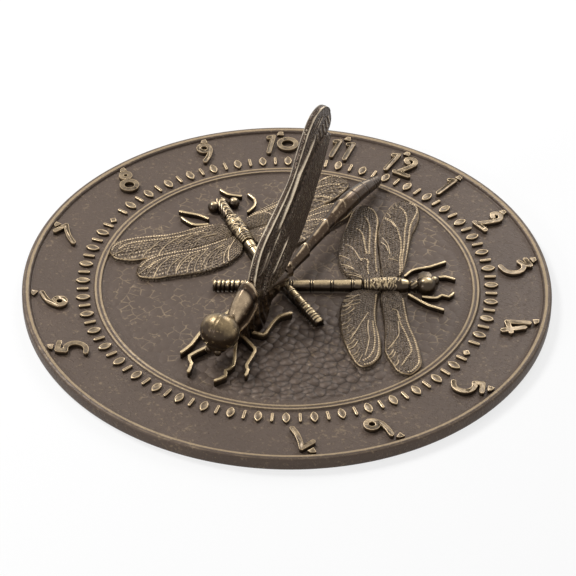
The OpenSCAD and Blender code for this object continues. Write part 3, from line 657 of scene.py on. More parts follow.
wings = {
    "foreLeft": {
        "lead": [(58.5, 4), (63, 6), (68.3, 11), (71.3, 22), (73.7, 36), (75.8, 47.5), (79.3, 58),
                 (80.9, 67.5), (79.1, 76.3), (73.5, 80.8)],
        "trail": [(57, 4), (57.0, 13.4), (56.6, 24.5), (56.0, 37.6), (56.3, 50), (58.6, 60.2), (62.2, 70.6),
                  (66.9, 78.3), (73.5, 80.8)],
        "beads": [[(70.2, 16), (71.2, 22), (72.2, 28), (73.2, 36), (74, 43.5), (75.5, 56), (78.3, 64.5),
                   (80, 70.5), (79.4, 75.2), (76.2, 77.6)],
                  [(67.5, 10), (68, 17), (68, 23.6), (69, 32), (69.3, 39.5), (68.6, 46.5), (67.6, 52.5),
                   (66, 57), (63.7, 61), (61, 63)],
                  [(69.2, 13), (69.4, 24), (70.9, 36), (71.4, 43), (72.2, 53), (73.4, 60), (73.2, 66.5),
                   (72, 70.4), (70, 73.6)]],
        "lines": [[(62.3, 29), (61.8, 35), (60.6, 40), (58.4, 44)],
                  [(61.3, 32), (60, 37), (57.6, 40)],
                  [(61.7, 24.3), (64.2, 23.6), (66.8, 22)],
                  [(66.5, 54.5), (64, 59.4), (61, 61.6)]],
    },
    "hindLeft": {
        "lead": [(56.4, 4), (56.6, 13), (56.2, 23.8), (55.6, 37.2), (55.8, 50), (56.8, 60.4), (55.2, 69.5),
                 (51.4, 74.8), (48.5, 75.2)],
        "trail": [(46, 4), (40.2, 6.6), (35.4, 12.7), (32.7, 21.8), (32.5, 31.3), (34, 39.7), (36, 49),
                  (38.6, 59), (41.5, 69), (45.5, 74), (48.5, 75.2)],
        "beads": [[(54.2, 13), (53.9, 24), (54.1, 36), (54.8, 46), (55.6, 54), (56.2, 60), (55.4, 66.5),
                   (53.6, 71), (51.2, 72.9)],
                  [(50.4, 29.5), (50.6, 36), (51, 43), (51.4, 49), (51.2, 55.5), (50, 61), (48.8, 64)],
                  [(48.8, 29.5), (48.2, 35.5), (47.7, 42.5), (47, 47), (45.3, 51), (43.7, 52.5)],
                  [(49.4, 10.7), (49, 16), (49.5, 22), (48, 24), (46, 24)]],
        "lines": [[(45.7, 22), (43.8, 26.5), (42, 31.7), (39.8, 35.5), (36.5, 37.7)]],
    },
    "hindRight": {
        "lead": [(56, -4), (54.8, -6), (53.6, -11.5), (52.8, -22.7), (52.5, -34), (54.2, -45.6),
                 (54.5, -55), (53.5, -62.6), (49.5, -69), (46, -71.4)],
        "trail": [(44, -4), (39.4, -5.2), (34.9, -10.8), (32.9, -19), (32.1, -30), (33.3, -44.8),
                  (36.4, -58.2), (39.9, -67.9), (43, -71.3), (46, -71.4)],
        "beads": [[(53.2, -9), (52.6, -15), (51.8, -22), (51.6, -28), (52.1, -34), (53, -42), (53.5, -48.6),
                   (53.5, -55), (52.8, -60.4), (51.2, -65.6), (48, -69.3), (45, -70.4)],
                  [(50.5, -32.7), (51, -39.3), (51.3, -46.6), (51, -53.2), (50, -58.5), (47.8, -63.7),
                   (44.4, -67)]],
        "lines": [[(48, -25.3), (45.8, -30), (43.6, -34.7), (41.7, -39.4), (40, -43.4), (37.3, -48.7)],
                  [(48, -32), (47.6, -36.7), (47.6, -42), (48, -47.3), (47.3, -53.3), (46.3, -58.5),
                   (45.4, -62.4)],
                  [(36, -10.4), (43.8, -9.7)],
                  [(34.6, -15.2), (43.7, -13.8)],
                  [(34, -20), (43.6, -16.5)]],
    },
    "foreRight": {
        "lead": [(60, -4), (66.2, -5.4), (69.3, -12.6), (70.2, -24.8), (71.6, -36), (74.7, -48.4),
                 (76.5, -61), (76.3, -70.3), (71.8, -76.9), (69, -78.3)],
        "trail": [(57, -4), (55.9, -11.7), (56.8, -23.8), (57.5, -38.2), (57.2, -49.6), (57, -58.8),
                  (59.9, -67.6), (63.4, -75.4), (69, -78.3)],
        "beads": [[(68.2, -12.6), (69.2, -24.8), (70.6, -36), (73.6, -48.4), (75.3, -61), (75, -69.3),
                   (71.4, -75.4), (69, -76.8)],
                  [(64.9, -26.8), (66.3, -34.8), (68.6, -42.8), (70.8, -52), (71.4, -58.6), (68.6, -65),
                   (65.9, -70.3)]],
        "lines": [[(61.7, -21.8), (64.5, -23.2), (65.6, -28), (66.4, -30)],
                  [(64.8, -32.6), (65, -38), (64.8, -44.6), (62.2, -50.5), (58.4, -57)],
                  [(68.4, -64.2), (66.9, -68.2), (65.2, -71.2)]],
    },
}
wingMake = {
    "along": 300,
    "across": 92,
    "length": 72.0,
    "top": 2.7,
    "crown": 0.35,
    "hemRise": 0.25,
    "edgeFall": 0.45,
    "veins": {"beads": {"size": 0.72, "rise": 0.62, "rubAndShading": 0.95, "pitch": 1.55},
              "lines": {"size": 0.52, "rise": 0.6, "rubAndShading": 0.68}},
    "edge": 0.55,
    "rows": 14,
    "rowFan": 0.45,
    "rowLength": 1.9,
    "row": 0.34,
    "rowRub": {"east": 0.46, "west": 0.6},
    "ground": {"east": 0.12, "west": 0.24},
    "strokeRise": 0.6,
    "strokeSize": 0.55,
    "strokeWay": [(0.0, 0.03), (-0.012, 0.12), (-0.04, 0.24), (-0.09, 0.36)],
}
# Strokes that sweep in from the trailing edge: first and last place along the wing, count and length
strokes = {
    "east": {"foreLeft": (0.78, 0.9, 4, 0.6), "hindLeft": (0.12, 0.36, 6, 0.8),
             "foreRight": (0.74, 0.92, 5, 0.7), "hindRight": (0.2, 0.93, 14, 1.0)},
    "west": {"foreLeft": (0.5, 0.95, 7, 1.5), "hindLeft": (0.2, 0.95, 11, 1.5),
             "foreRight": (0.35, 0.95, 6, 2.0), "hindRight": (0.2, 0.95, 11, 2.1)},
}
# A turn about the root, a reach and a shift towards the body, and how the west insect's left wings differ
asDrawn = (0.0, 1.0, 0.0)
westWings = {"foreLeft": (-4.6, 1.0, 0.0), "hindLeft": (-4.6, 0.93, 0.0)}
# The west insect's right wings have outlines of their own
westShapes = {
    "foreRight": {
        "lead": [(60, -4), (68, -6), (71, -13), (72.2, -22), (72, -31.4), (72.8, -40.4), (75.6, -50.4),
                 (77.6, -60), (77.6, -68.4), (75.8, -73.6), (72, -76.6), (70, -77.4)],
        "trail": [(57, -4), (55.4, -12), (54.6, -22), (54.6, -34), (54.8, -46), (55.6, -56), (57.4, -66),
                  (60, -72), (64, -76.4), (70, -77.4)],
        "beads": [[(69.4, -12.6), (70.6, -22), (70.4, -31.4), (71.2, -40.4), (74, -50.4), (76, -60),
                   (76, -68), (73.8, -73), (70.6, -75.6)],
                  [(66.4, -20), (67, -30), (68, -40), (70, -50), (72, -58), (72.4, -66), (70, -71.4)]],
        "lines": [[(63, -16), (65, -24), (63.6, -32), (61, -38)],
                  [(68.4, -44), (65.8, -50), (61.6, -56)],
                  [(64, -24), (67, -27), (66.4, -33)],
                  [(60.4, -14), (61, -22), (59, -29)]],
    },
    "hindRight": {
        "lead": [(56, -4), (55.6, -10.4), (54.6, -20.5), (54.4, -30), (55.6, -38.2), (56.6, -47),
                 (56.8, -54.6), (55, -62), (51.5, -67), (47.6, -69.6)],
        "trail": [(44, -4), (38.6, -8.4), (33.6, -18.2), (31.8, -29.1), (32.6, -39.1), (35, -50.1),
                  (37, -60.9), (39.8, -67), (43, -70), (47.6, -69.6)],
        "beads": [[(53.8, -10.4), (53, -20.5), (52.8, -30), (54, -38.2), (55, -47), (55, -54.6),
                   (53.2, -61.4), (49.8, -66)],
                  [(50, -24), (50.2, -33), (51.4, -42), (51.8, -50), (50, -57), (46.6, -62)]],
        "lines": [[(50, -14), (46.6, -22), (42.6, -28), (37, -33)],
                  [(48.6, -30), (46, -38), (42, -44), (38, -48)]],
    },
}
wingRoot = 57.0


def setWing(points, change):
    turn, reach, shift = math.radians(change[0]), change[1], change[2]
    p = np.array(points, float)
    s = p[:, 0] - wingRoot
    t = p[:, 1] * reach
    return np.stack([wingRoot + s * math.cos(turn) - t * math.sin(turn),
                     s * math.sin(turn) + t * math.cos(turn) + shift], 1)


# Points between the trailing edge (v = 0) and the leading edge (v = 1), from the root to the tip
def betweenRails(lead, trail, uv, count=241):
    steps = np.linspace(0, 1, count)
    a, b = (np.stack([np.interp(uv[:, 0], steps, line[:, k]) for k in (0, 1)], 1)
            for line in (throughPoints(lead, count), throughPoints(trail, count)))
    chord = np.linalg.norm(a - b, axis=1)
    return b + (a - b) * uv[:, 1:], chord


# Height and rub of the beaded and the smooth veins over flat points
def veinRelief(flat, shape, veins, change=asDrawn):
    height = np.zeros(len(flat))
    rubAndShading = np.zeros(len(flat))
    for kind, vein in veins.items():
        for path in shape.get(kind, []):
            way = throughPoints(setWing(path, change), 40)
            far = nearestBead(flat, way, vein["pitch"]) if kind == "beads" else nearestOn(flat, way)
            mark = bell(far, vein["size"])
            height = np.maximum(height, vein["rise"] * mark)
            rubAndShading = np.maximum(rubAndShading, vein["rubAndShading"] * mark)
    return height, rubAndShading


# The foot of a raised piece: down a steep wall, then out in a small concave fillet; the wall gets painted
# shadow
footRows = ((0.7, 0.0), (0.28, 0.22), (0.0, 0.7))


def standOnField(bm, layer):
    rim = [e for e in bm.edges if e.is_boundary]
    outward = {}
    for e in rim:
        way = e.verts[1].co - e.verts[0].co
        square = Vector((way.y, -way.x, 0)).normalized()
        middle = (e.verts[0].co + e.verts[1].co) / 2
        if square.dot(middle - e.link_faces[0].calc_center_median()) < 0:
            square = -square
        for v in e.verts:
            outward[v] = outward.get(v, Vector()) + square
    lastReach = 0.0
    for level, reach in footRows:
        made = bmesh.ops.extrude_edge_only(bm, edges=rim)["geom"]
        low = [g for g in made if isinstance(g, bmesh.types.BMVert)]
        rim = [g for g in made if isinstance(g, bmesh.types.BMEdge) and g.is_boundary]
        following = {}
        for v in low:
            above = next(e.other_vert(v) for e in v.link_edges if e.other_vert(v) in outward)
            following[v] = outward[above]
            push = outward[above].normalized() if outward[above].length else Vector()
            v.co += push * (reach - lastReach) * mm
            v.co.z = (fieldZ + level) * mm
            # Painted shadow on the wall near the field, and a faint light rub on the outer fillet
            v[layer] = 0.1 if reach > 0.5 else -1.0
        outward = following
        lastReach = reach
    closeHoles(bm)


def makeReliefWing(name, shape, insect, change, make):
    bm, uv = gridOver(make["along"], make["across"])
    rails = setWing(shape["lead"], change), setWing(shape["trail"], change)
    flat, chord = betweenRails(*rails, uv)
    length = make["length"]
    height, rubAndShading = veinRelief(flat, shape, make["veins"], change)
    first, last, count, reach = strokes[insect][name[4:]]
    random = np.random.RandomState(len(name) + count)
    for k in range(count):
        start = first + (last - first) * (k + random.uniform(-0.25, 0.25)) / (count - 1)
        own = reach * random.uniform(0.6, 1.1)
        bends = np.array([(start + du * own, 0.03 + (v - 0.03) * own) for du, v in make["strokeWay"]])
        way = throughPoints(betweenRails(*rails, bends)[0], 24)
        mark = bell(nearestOn(flat, way), make["strokeSize"])
        height = np.maximum(height, make["strokeRise"] * mark)
        rubAndShading = np.maximum(rubAndShading, random.uniform(0.5, 0.75) * mark)
    # Rows of grains fan out from the root, and those near the trailing edge run out to it
    fan = uv[:, 1] + make["rowFan"] * uv[:, 0] * (1 - uv[:, 1]) ** 2
    rows = fan * make["rows"]
    along = uv[:, 0] * length / make["rowLength"] + 0.5 * np.floor(rows)
    grains = np.sin(math.pi * rows) ** 2 * np.abs(np.sin(math.pi * along)) ** 1.2
    free = unit(1 - 2.2 * rubAndShading)
    height = height + make["row"] * grains * free
    ground = make["ground"][insect]
    rubAndShading = np.maximum(rubAndShading, ground + (make["rowRub"][insect] - ground) * grains * free)
    fromEdge = np.minimum(np.minimum(uv[:, 1], 1 - uv[:, 1]) * chord, (1 - uv[:, 0]) * length * 0.6)
    tip = unit((uv[:, 0] - 0.45) / 0.4)
    hem = bell(fromEdge, make["edge"])
    rubAndShading = np.maximum(rubAndShading, hem * (0.45 + 0.45 * tip))
    fall = make["edgeFall"] * bell(fromEdge, 0.3)
    crown = make["crown"] * np.sin(math.pi * uv[:, 1])
    z = fieldZ + make["top"] - make["crown"] + height + make["hemRise"] * hem * tip + crown - fall
    room = bodyHalf(flat[:, 0])
    side = 1 if "Left" in name else -1
    across = side * np.maximum(side * flat[:, 1], room)
    shapeGrid(bm, insectPoint(np.stack([flat[:, 0], across, z], 1), insect), rubAndShading)
    standOnField(bm, bm.verts.layers.float["rubAndShading"])
    return finishPiece(bm, name, "bronzeWing", None, 50)


# Several finished pieces as one object that stands for the named nodes
def joinPieces(pieces, name, nodes):
    bm = bmesh.new()
    for piece in pieces:
        bm.from_mesh(piece.data)
    material = pieces[0].data.materials[0].name
    for piece in pieces:
        bpy.data.objects.remove(piece)
    return finishPiece(bm, name, material, nodes, 50)


for word, shapes, changes in (("east", wings, {}), ("west", {**wings, **westShapes}, westWings)):
    for pair in ("fore", "hind"):
        made = [makeReliefWing(word + wing, shapes[wing], word, changes.get(wing, asDrawn), wingMake)
                for wing in (pair + "Left", pair + "Right")]
        joinPieces(made, word + pair.capitalize() + "Wings", [word + "_" + pair + "_wings"])
print("relief wings made")

# Relief bodies: half-round lofts with paired joint lines, and curled ribs on the thorax

reliefBody = {
    "abdomen": [(-40.5, 2.9), (-38, 2.9), (-20, 3.0), (0, 3.1), (20, 3.3), (38, 3.5), (45.4, 3.6)],
    "joints": [-21.8, -10, 4.4, 16.2, 28, 39.8],
    "tailRibs": [-39.2, -36.6, -34.4, -31.4, -29, -25.6],
    "ribSwells": (0.28, 0.42),
    "grooves": [(-0.75, 1.0), (0.75, 0.8)],  # place beside a joint, and depth
    "grooveWidth": 0.28,
    "grooveDepth": 0.36,
    "jointSwell": 0.16,
    "thorax": [(46, 3.5), (49, 4.4), (55, 5.0), (63, 5.2), (69, 4.6), (72.6, 3.4)],
    "thoraxRings": [46.9, 48.4, 50.2],
    "curls": 46,
    "curlBend": 1.4,
    "curlTurn": 0.9,
    "curlSlant": 1.4,
    "curlHalf": 2.0,
    "curlWidth": 0.45,
    "curlRise": 0.38,
    "curlsEnd": {"east": 66.5, "west": 71.0},
    "seeds": {"east": 15, "west": 16},
    "around": 40,
}


# A D-shaped section: a round top, steep sides and a small fillet at the foot
def halfSection(v, radius):
    low = unit((0.16 - v) / 0.16) + unit((v - 0.84) / 0.16)
    angle = math.pi * unit((v - 0.16) / 0.68)
    flare = 0.6 * unit((low - 0.6) / 0.4) ** 2
    across = radius * np.cos(angle) + np.where(v < 0.5, 1, -1) * flare * (low > 0)
    up = axisZ + radius * np.sin(angle) - low * (axisZ - fieldZ)
    return across, up, np.sin(angle) * (low <= 0)


def jointedRadius(along, joints, p):
    curve = throughPoints(p["abdomen"], 200)
    radius = np.interp(along, curve[:, 0], curve[:, 1])
    groove = np.zeros(len(along))
    for j in joints:
        for beside, depth in p["grooves"]:
            groove = np.maximum(groove, depth * bell(along - (j + beside), p["grooveWidth"]))
    swell = sum(p["jointSwell"] * bell(along - j, 0.5) for j in joints)
    for k, j in enumerate(p["tailRibs"]):
        swell = swell + p["ribSwells"][k % 2] * bell(along - j, 0.62)
        groove = np.maximum(groove, 0.9 * bell(along - j - 1.1, 0.35))
    return radius + swell - p["grooveDepth"] * groove, groove


def makeAbdomen(insect, p, sFrom, sTo, joints):
    bm, uv = gridOver(420, p["around"])
    along = sFrom + (sTo - sFrom) * uv[:, 0]
    radius, groove = jointedRadius(along, joints, p)
    taper = endTaper(along, sFrom, sTo, 0.8, 0.8)
    across, up, top = halfSection(uv[:, 1], radius * (0.6 + 0.4 * taper))
    ribbed = unit((-24 - along) / 2)
    # Tan rub on the top as wear, a narrow painted highlight along the crest, dark joints, and painted shade
    # down the steep sides
    wornTopAndHighlight = 0.75 * top ** 1.6 + 0.35 * top ** 12 + 0.1 * ribbed * top
    rubAndShading = wornTopAndHighlight * (1 - groove) - 0.9 * groove - 0.5 * (top <= 0.05)
    shapeGrid(bm, insectPoint(np.stack([along, across, up], 1), insect), rubAndShading)
    closeHoles(bm)
    return bm


# Keeps what lies on one side of the east body: side is 1 on its left and -1 on its right
def cutBesideEast(bm, side, room=3.75):
    turn = math.radians(insects["east"]["heading"])
    left = Vector((-math.sin(turn), math.cos(turn), 0))
    point = Vector((0, -insects["east"]["back"] * mm, 0)) + left * side * room * mm
    geometry = list(bm.verts) + list(bm.edges) + list(bm.faces)
    bmesh.ops.bisect_plane(bm, geom=geometry, dist=1e-6, plane_co=point, plane_no=left * -side,
                           clear_outer=True)
    closeHoles(bm)


def makeThorax(word, p):
    bm, uv = gridOver(300, 64)
    random = np.random.RandomState(p["seeds"][word])
    sFrom = p["thorax"][0][0]
    sTo = p["thorax"][-1][0]
    along = sFrom + (sTo - sFrom) * uv[:, 0]
    curve = throughPoints(p["thorax"], 200)
    radius = np.interp(along, curve[:, 0], curve[:, 1])
    arc = (uv[:, 1] - 0.5) * 3.6 * 4.6
    flat = np.stack([along, arc], 1)
    curls = np.zeros(len(along))
    for ring in p["thoraxRings"]:
        curls = np.maximum(curls, bell(along - ring, 0.42))
    for k in range(p["curls"]):
        s = random.uniform(51.5, p["curlsEnd"][word])
        a = random.uniform(-4.6, 4.6)
        bend = random.uniform(-p["curlBend"], p["curlBend"])
        turn = random.uniform(-p["curlTurn"], p["curlTurn"])
        t = np.linspace(-1, 1, 9)
        slant = p["curlSlant"] * t * math.sin(turn)
        path = np.stack([s + bend * (1 - t * t) + slant, a + p["curlHalf"] * t * math.cos(turn)], 1)
        curls = np.maximum(curls, bell(nearestOn(flat, path), p["curlWidth"]))
    taper = endTaper(along, sFrom, sTo, 0.5, 0.8)
    thick = (radius - 0.3) * (0.6 + 0.4 * taper) + p["curlRise"] * curls
    across, up, top = halfSection(uv[:, 1], thick)
    # Painted shade down the steep sides, and a painted highlight along the top of the east collar
    rubAndShading = (0.2 + 0.55 * curls) * unit(top * 1.6) - 0.5 * (top <= 0.05)
    collar = unit((along - 67) / 1.5) * (word == "east")
    rubAndShading = np.maximum(rubAndShading, 0.9 * collar * top ** 3)
    shapeGrid(bm, insectPoint(np.stack([along, across, up], 1), word), rubAndShading)
    closeHoles(bm)
    finishPiece(bm, word + "Thorax", "bronzeInsect", [word + "_thorax"], 50)


def makeReliefBodies(p):
    bm = makeAbdomen("east", p, -40.5, 45.4, p["joints"])
    finishPiece(bm, "eastAbdomen", "bronzeInsect", ["east_abdomen"], 50)
    bm = makeAbdomen("west", p, -6, 45.4, [7, 15, 23, 31, 39])
    cutBesideEast(bm, 1)
    stub = makeAbdomen("stub", p, -40.5, 6, [-21.8, -15.5, -9])
    cutBesideEast(stub, -1)
    addMesh(bm, stub)
    finishPiece(bm, "westAbdomen", "bronzeInsect", ["west_abdomen"], 50)
    makeThorax("east", p)
    makeThorax("west", p)


makeReliefBodies(reliefBody)

reliefHeads = {
    "east": {
        "eyes": [(82.4, -0.4, 5.8)],
        "plate": [(77.4, 4.4), (77.8, 9.6), (80.6, 12.0), (84.6, 11.4), (86.4, 8.2), (86.0, 4.0)],
        "face": (87.0, 4.2, 3.0),
        "neck": (72.9, 77.5, 3.3),
    },
    "west": {
        "eyes": [(85.6, -5.0, 3.6), (84.6, 7.6, 3.5)],
        "plate": None,
        "face": (87.4, 1.4, 3.2),
        "neck": (72.9, 89.5, 3.4),
    },
}
facePlate = {
    "rise": 4.0,
    "edge": 0.9,
    "insets": [(1.1, 0.7), (0.7, -0.5)],  # width and rise
}


def addBall(bm, centre, radii, turn=0.0, segments=40, rings=24):
    verts = bmesh.ops.create_uvsphere(bm, u_segments=segments, v_segments=rings, radius=mm)["verts"]
    bmesh.ops.scale(bm, verts=verts, vec=radii)
    bmesh.ops.rotate(bm, verts=verts, cent=(0, 0, 0), matrix=Matrix.Rotation(turn, 3, "Z"))
    bmesh.ops.translate(bm, verts=verts, vec=Vector(centre) * mm)
    return verts


def cutAtField(bm):
    geometry = list(bm.verts) + list(bm.edges) + list(bm.faces)
    bmesh.ops.bisect_plane(bm, geom=geometry, dist=1e-6, plane_co=(0, 0, fieldZ * mm), plane_no=(0, 0, -1),
                           clear_outer=True)
    closeHoles(bm)


# A ribbed bar that carries the thorax on into the head
def addNeck(bm, neck, word):
    sFrom, sTo, radius = neck
    bar, uv = gridOver(120, 32)
    along = sFrom + (sTo - sFrom) * uv[:, 0]
    ribs = 0.22 * np.sin(2 * math.pi * (along - sFrom) / 3.4 + 5 * np.sin(3 * math.pi * uv[:, 1]))
    taper = endTaper(along, sFrom, sTo, 0.4, 0.6)
    across, up, top = halfSection(uv[:, 1], (radius + ribs) * (0.7 + 0.3 * taper))
    # The ribs are rubbed towards the top, and the steep sides get painted shade
    rubAndShading = unit(0.5 + 1.1 * ribs) * top - 0.5 * (top <= 0.05)
    shapeGrid(bar, insectPoint(np.stack([along, across, up], 1), word), rubAndShading)
    closeHoles(bar)
    addMesh(bm, bar)


# A low faceted plate beside the eye
def addFacePlate(bm, corners, word):
    spots = insectPoint([(s, t, fieldZ) for s, t in corners], word)
    verts = [bm.verts.new(Vector(spot) * mm) for spot in spots]
    made = bmesh.ops.extrude_face_region(bm, geom=[bm.faces.new(verts)])["geom"]
    top = [g for g in made if isinstance(g, bmesh.types.BMVert)]
    bmesh.ops.translate(bm, verts=top, vec=(0, 0, facePlate["rise"] * mm))
    edges = {e for v in top for e in v.link_edges}
    bmesh.ops.bevel(bm, geom=list(edges), offset=facePlate["edge"] * mm, offset_type="OFFSET", segments=3,
                    profile=0.5, affect="EDGES", clamp_overlap=True, material=-1)
    bm.normal_update()
    crown = [f for f in bm.faces if f.normal.z > 0.98 and f.calc_center_median().z > (fieldZ + 3.5) * mm
             and f.calc_area() > 20 * mm * mm]
    for width, rise in facePlate["insets"]:
        bmesh.ops.inset_region(bm, faces=crown, thickness=width * mm, depth=rise * mm,
                               use_even_offset=True)


def makeReliefHead(word, p):
    bm = bmesh.new()
    turn = math.radians(insects[word]["heading"]) * insects[word]["side"]
    for s, t, r in p["eyes"] + [p["face"]]:
        addBall(bm, insectPoint([(s, t, axisZ)], word)[0], (r, r, r), turn)
    cutAtField(bm)
    if p["plate"]:
        addFacePlate(bm, p["plate"], word)
    bmesh.ops.recalc_face_normals(bm, faces=bm.faces)
    bm.normal_update()
    # Painted light: faces turned up are rubbed lighter and steep faces get painted shade; the top of the
    # plate is rubbed less than the eyes
    plateZ = (fieldZ + 3.4) * mm if p["plate"] else 0
    setRubAndShading(bm, [(0.45 if plateZ < v.co.z < plateZ + 1.4 * mm else 0.8) * max(0, v.normal.z) ** 3
                - 0.6 * max(0, 0.3 - v.normal.z) for v in bm.verts])
    addNeck(bm, p["neck"], word)
    finishPiece(bm, word + "Head", "bronzeInsect", [word + "_head"], 60)
    softCopy(word + "_legs", word + "Legs", 0.62, 3, "bronzeInsect", 0, sharp=4.5)


for word, shape in reliefHeads.items():
    makeReliefHead(word, shape)
print("relief dragonflies made")

# Gnomon: folded wings in the style line's own frame, a along the line and b square to it

styleLine = {
    "back": 83.0,
    "latitude": 40.0,
}
styleTilt = math.radians(styleLine["latitude"])


def stylePoint(a, b, x):
    y = -styleLine["back"] + a * math.cos(styleTilt) - b * math.sin(styleTilt)
    z = fieldZ + a * math.sin(styleTilt) + b * math.cos(styleTilt)
    return np.stack([x, y, z], 1)


# Each line is (points, height, half width, rub with painted highlight); negative heights are channels
folded = {
    "fore": {
        "lead": [(40, -14), (44, -9), (49.5, -5), (55.5, -1.5), (64, 2.6), (73, 4), (85, 3), (97, 2),
                 (109, 1.5), (117, 2.6), (126, 5.4), (134, 7.6), (142, 9.4), (149, 9.4), (154.5, 7),
                 (158.5, 3), (160, -2), (159.6, -6)],
        "trail": [(46, -17), (62, -24), (80, -26), (100, -22), (120, -17), (138, -15), (150, -16.8),
                  (156, -14), (159.6, -6)],
        "thick": 1.7,
        "hem": 1.1,
        "inner": 0.0,
        "lines": [([(60, -2.6), (68, -1.0), (78, -0.6), (90, -1.0), (103, -1.2), (115, 0.2), (128, 2.4),
                    (140, 4.8), (149, 4.6)], -0.6, 1.9, 0.0),
                  ([(76, -4.8), (90.7, -5.0), (103.6, -4.6), (112, -3.4), (117.9, -2.2), (129.3, -2.0),
                    (139.3, -1.2), (147, 0.0)], 1.5, 1.9, 1.2),
                  ([(50, -6.4), (58, -6.2), (68, -5.6), (80, -5.0)], 1.0, 0.8, 1.0),
                  ([(54, -9.4), (66, -9.2), (78, -8.8), (92, -9.2)], 1.0, 0.9, 0.85),
                  ([(56, -13.2), (70, -13.6), (84, -14.4)], 0.8, 0.9, 0.75)],
        "combs": [[(140, -8), (143, -3.4)],
                  [(143.6, -9.6), (146.6, -4.4)],
                  [(147, -11), (150, -5.4)],
                  [(150.4, -12), (153, -6)],
                  [(153.6, -12), (155.6, -6.6)],
                  [(143, 3.4), (150, 2.4)],
                  [(146, 0.6), (153, -0.4)]],
    },
    "hind": {
        "lead": [(46, -17), (56, -14.5), (65, -12), (75, -10.2), (88, -10.4), (100, -11.4), (110, -11),
                 (119, -9.6), (128, -9), (136, -9.4), (142, -11), (146, -13.6), (148.6, -16.4),
                 (149, -17.6)],
        "trail": [(52, -22), (62, -31), (69, -36), (78, -37), (88, -37.6), (99, -36.2), (109, -33.6),
                  (118, -31), (127, -28), (136, -24.8), (143, -22), (147.4, -20), (149, -17.6)],
        "thick": 3.2,
        "hem": 0.25,
        "inner": 1.3,
        "lines": [([(54, -17.6), (66, -18.2), (78, -19.2), (90, -20.2)], 1.2, 1.0, 1.0),
                  ([(58, -22), (68, -23.4), (80, -25.4)], 0.9, 0.9, 0.7),
                  ([(62, -27), (72, -29.6), (82, -31.6)], 0.7, 0.8, 0.5)],
        "combs": [],
    },
}
foldedMake = {
    "along": 300,
    "across": 110,
    "veins": {"lines": {"size": 0.6, "rise": 0.45, "rubAndShading": 0.68}},
    "hemInset": 0.8,
    "hemWidth": 0.55,
    "rootSwell": 1.5,
}


def makeFolded(name, shape, make, nodes):
    both = bmesh.new()
    for side in (1, -1):
        bm, uv = gridOver(make["along"], make["across"])
        flat, chord = betweenRails(shape["lead"], shape["trail"], uv)
        relief, rubAndShading = veinRelief(flat, {"lines": shape["combs"]}, make["veins"])
        for path, rise, width, strength in shape["lines"]:
            way = throughPoints(path, 60)
            ends = np.clip(np.minimum(flat[:, 0] - way[0, 0], way[-1, 0] - flat[:, 0]) / 10, 0.25, 1)
            mark = bell(nearestOn(flat, way), width) * ends
            relief = relief + rise * mark
            # The rub and painted highlight along a line comes and goes
            mark = mark * (0.82 + 0.18 * np.sin(flat[:, 0] / 8.5 + 4.0 * width))
            if rise < 0:
                rubAndShading = rubAndShading * (1 - mark)
            rubAndShading = np.maximum(rubAndShading, strength * mark)
        fromTip = (1 - uv[:, 0]) * 60
        fromLead = (1 - uv[:, 1]) * chord
        fromEdge = np.minimum(np.minimum(uv[:, 1] * chord, fromLead), fromTip)
        leading = bell(np.minimum(fromLead, fromTip) - make["hemInset"], make["hemWidth"])
        relief = relief + shape["hem"] * 0.45 * leading
        # The leading edge gets a painted highlight, brightest near its middle
        rubAndShading = np.maximum(rubAndShading, shape["hem"] * leading * (0.65 + 0.4 * bell(flat[:, 0] - 85, 30)))
        root = unit(1 - uv[:, 0] / 0.3)
        edge = unit(fromEdge / 1.6)
        bulge = shape["inner"] + (shape["thick"] - shape["inner"]) * np.sqrt(unit(1 - (1 - edge) ** 2))
        proud = relief * unit(fromEdge / 0.7) * unit(1.1 - 0.3 * uv[:, 0])
        x = np.where(fromEdge < 0.02, shape["inner"], bulge + proud + make["rootSwell"] * root * edge)
        rubAndShading = np.maximum(rubAndShading, 0.35 * bell(fromEdge, 0.5) * (uv[:, 1] <= 0.5))
        shapeGrid(bm, stylePoint(flat[:, 0], flat[:, 1], side * x), rubAndShading)
        addMesh(both, bm)
    closeDoubles(both)
    bmesh.ops.recalc_face_normals(both, faces=both.faces)
    return finishPiece(both, name, "bronzeBlade", nodes, 60)


makeFolded("foldedForeWings", folded["fore"], foldedMake, ["gnomon_fore_wings"])
makeFolded("foldedHindWings", folded["hind"], foldedMake, ["gnomon_hind_wings"])

# Thorax and foot, lofted along the plate's noon line

chest = {
    # y, foot half width, flank, shoulder, shoulder height, top height, bottom height
    "stations": [
        (-63.4, 1.2, 2.0, 2.6, 15, 20, 6), (-62, 2.2, 3.0, 3.6, 15.6, 24.2, 6),
        (-59, 4.5, 4.8, 5.2, 17, 28.0, 6), (-55, 6.0, 5.6, 6.3, 18.8, 31.6, 6),
        (-50, 7.2, 5.9, 6.7, 21.6, 34.6, 6), (-46, 8.0, 6.0, 6.6, 24.4, 36.4, 6),
        (-43.4, 8.2, 6.0, 6.0, 25.6, 37.2, 6), (-41, 8.2, 6.0, 5.4, 25, 35.0, 6),
        (-37, 7.4, 5.6, 4.8, 23.6, 31.0, 6), (-31, 6.4, 5.2, 4.3, 22, 27.6, 10.5),
        (-26, 5.0, 4.9, 4.2, 21, 25.6, 13.6), (-20, 4.4, 4.6, 4.3, 19.6, 23.8, 13.2),
        (-13, 3.6, 4.4, 4.4, 17.6, 21.8, 12.4), (-8, 3.0, 4.2, 4.3, 16.4, 20.4, 12.0),
        (-4.2, 2.6, 3.6, 3.6, 15.4, 19.2, 12.4)],
    "flutes": 10,
    "fluteDepth": 0.45,
    "rimStart": -45.0,
}


def eased(w):
    return w * w * (3 - 2 * w)


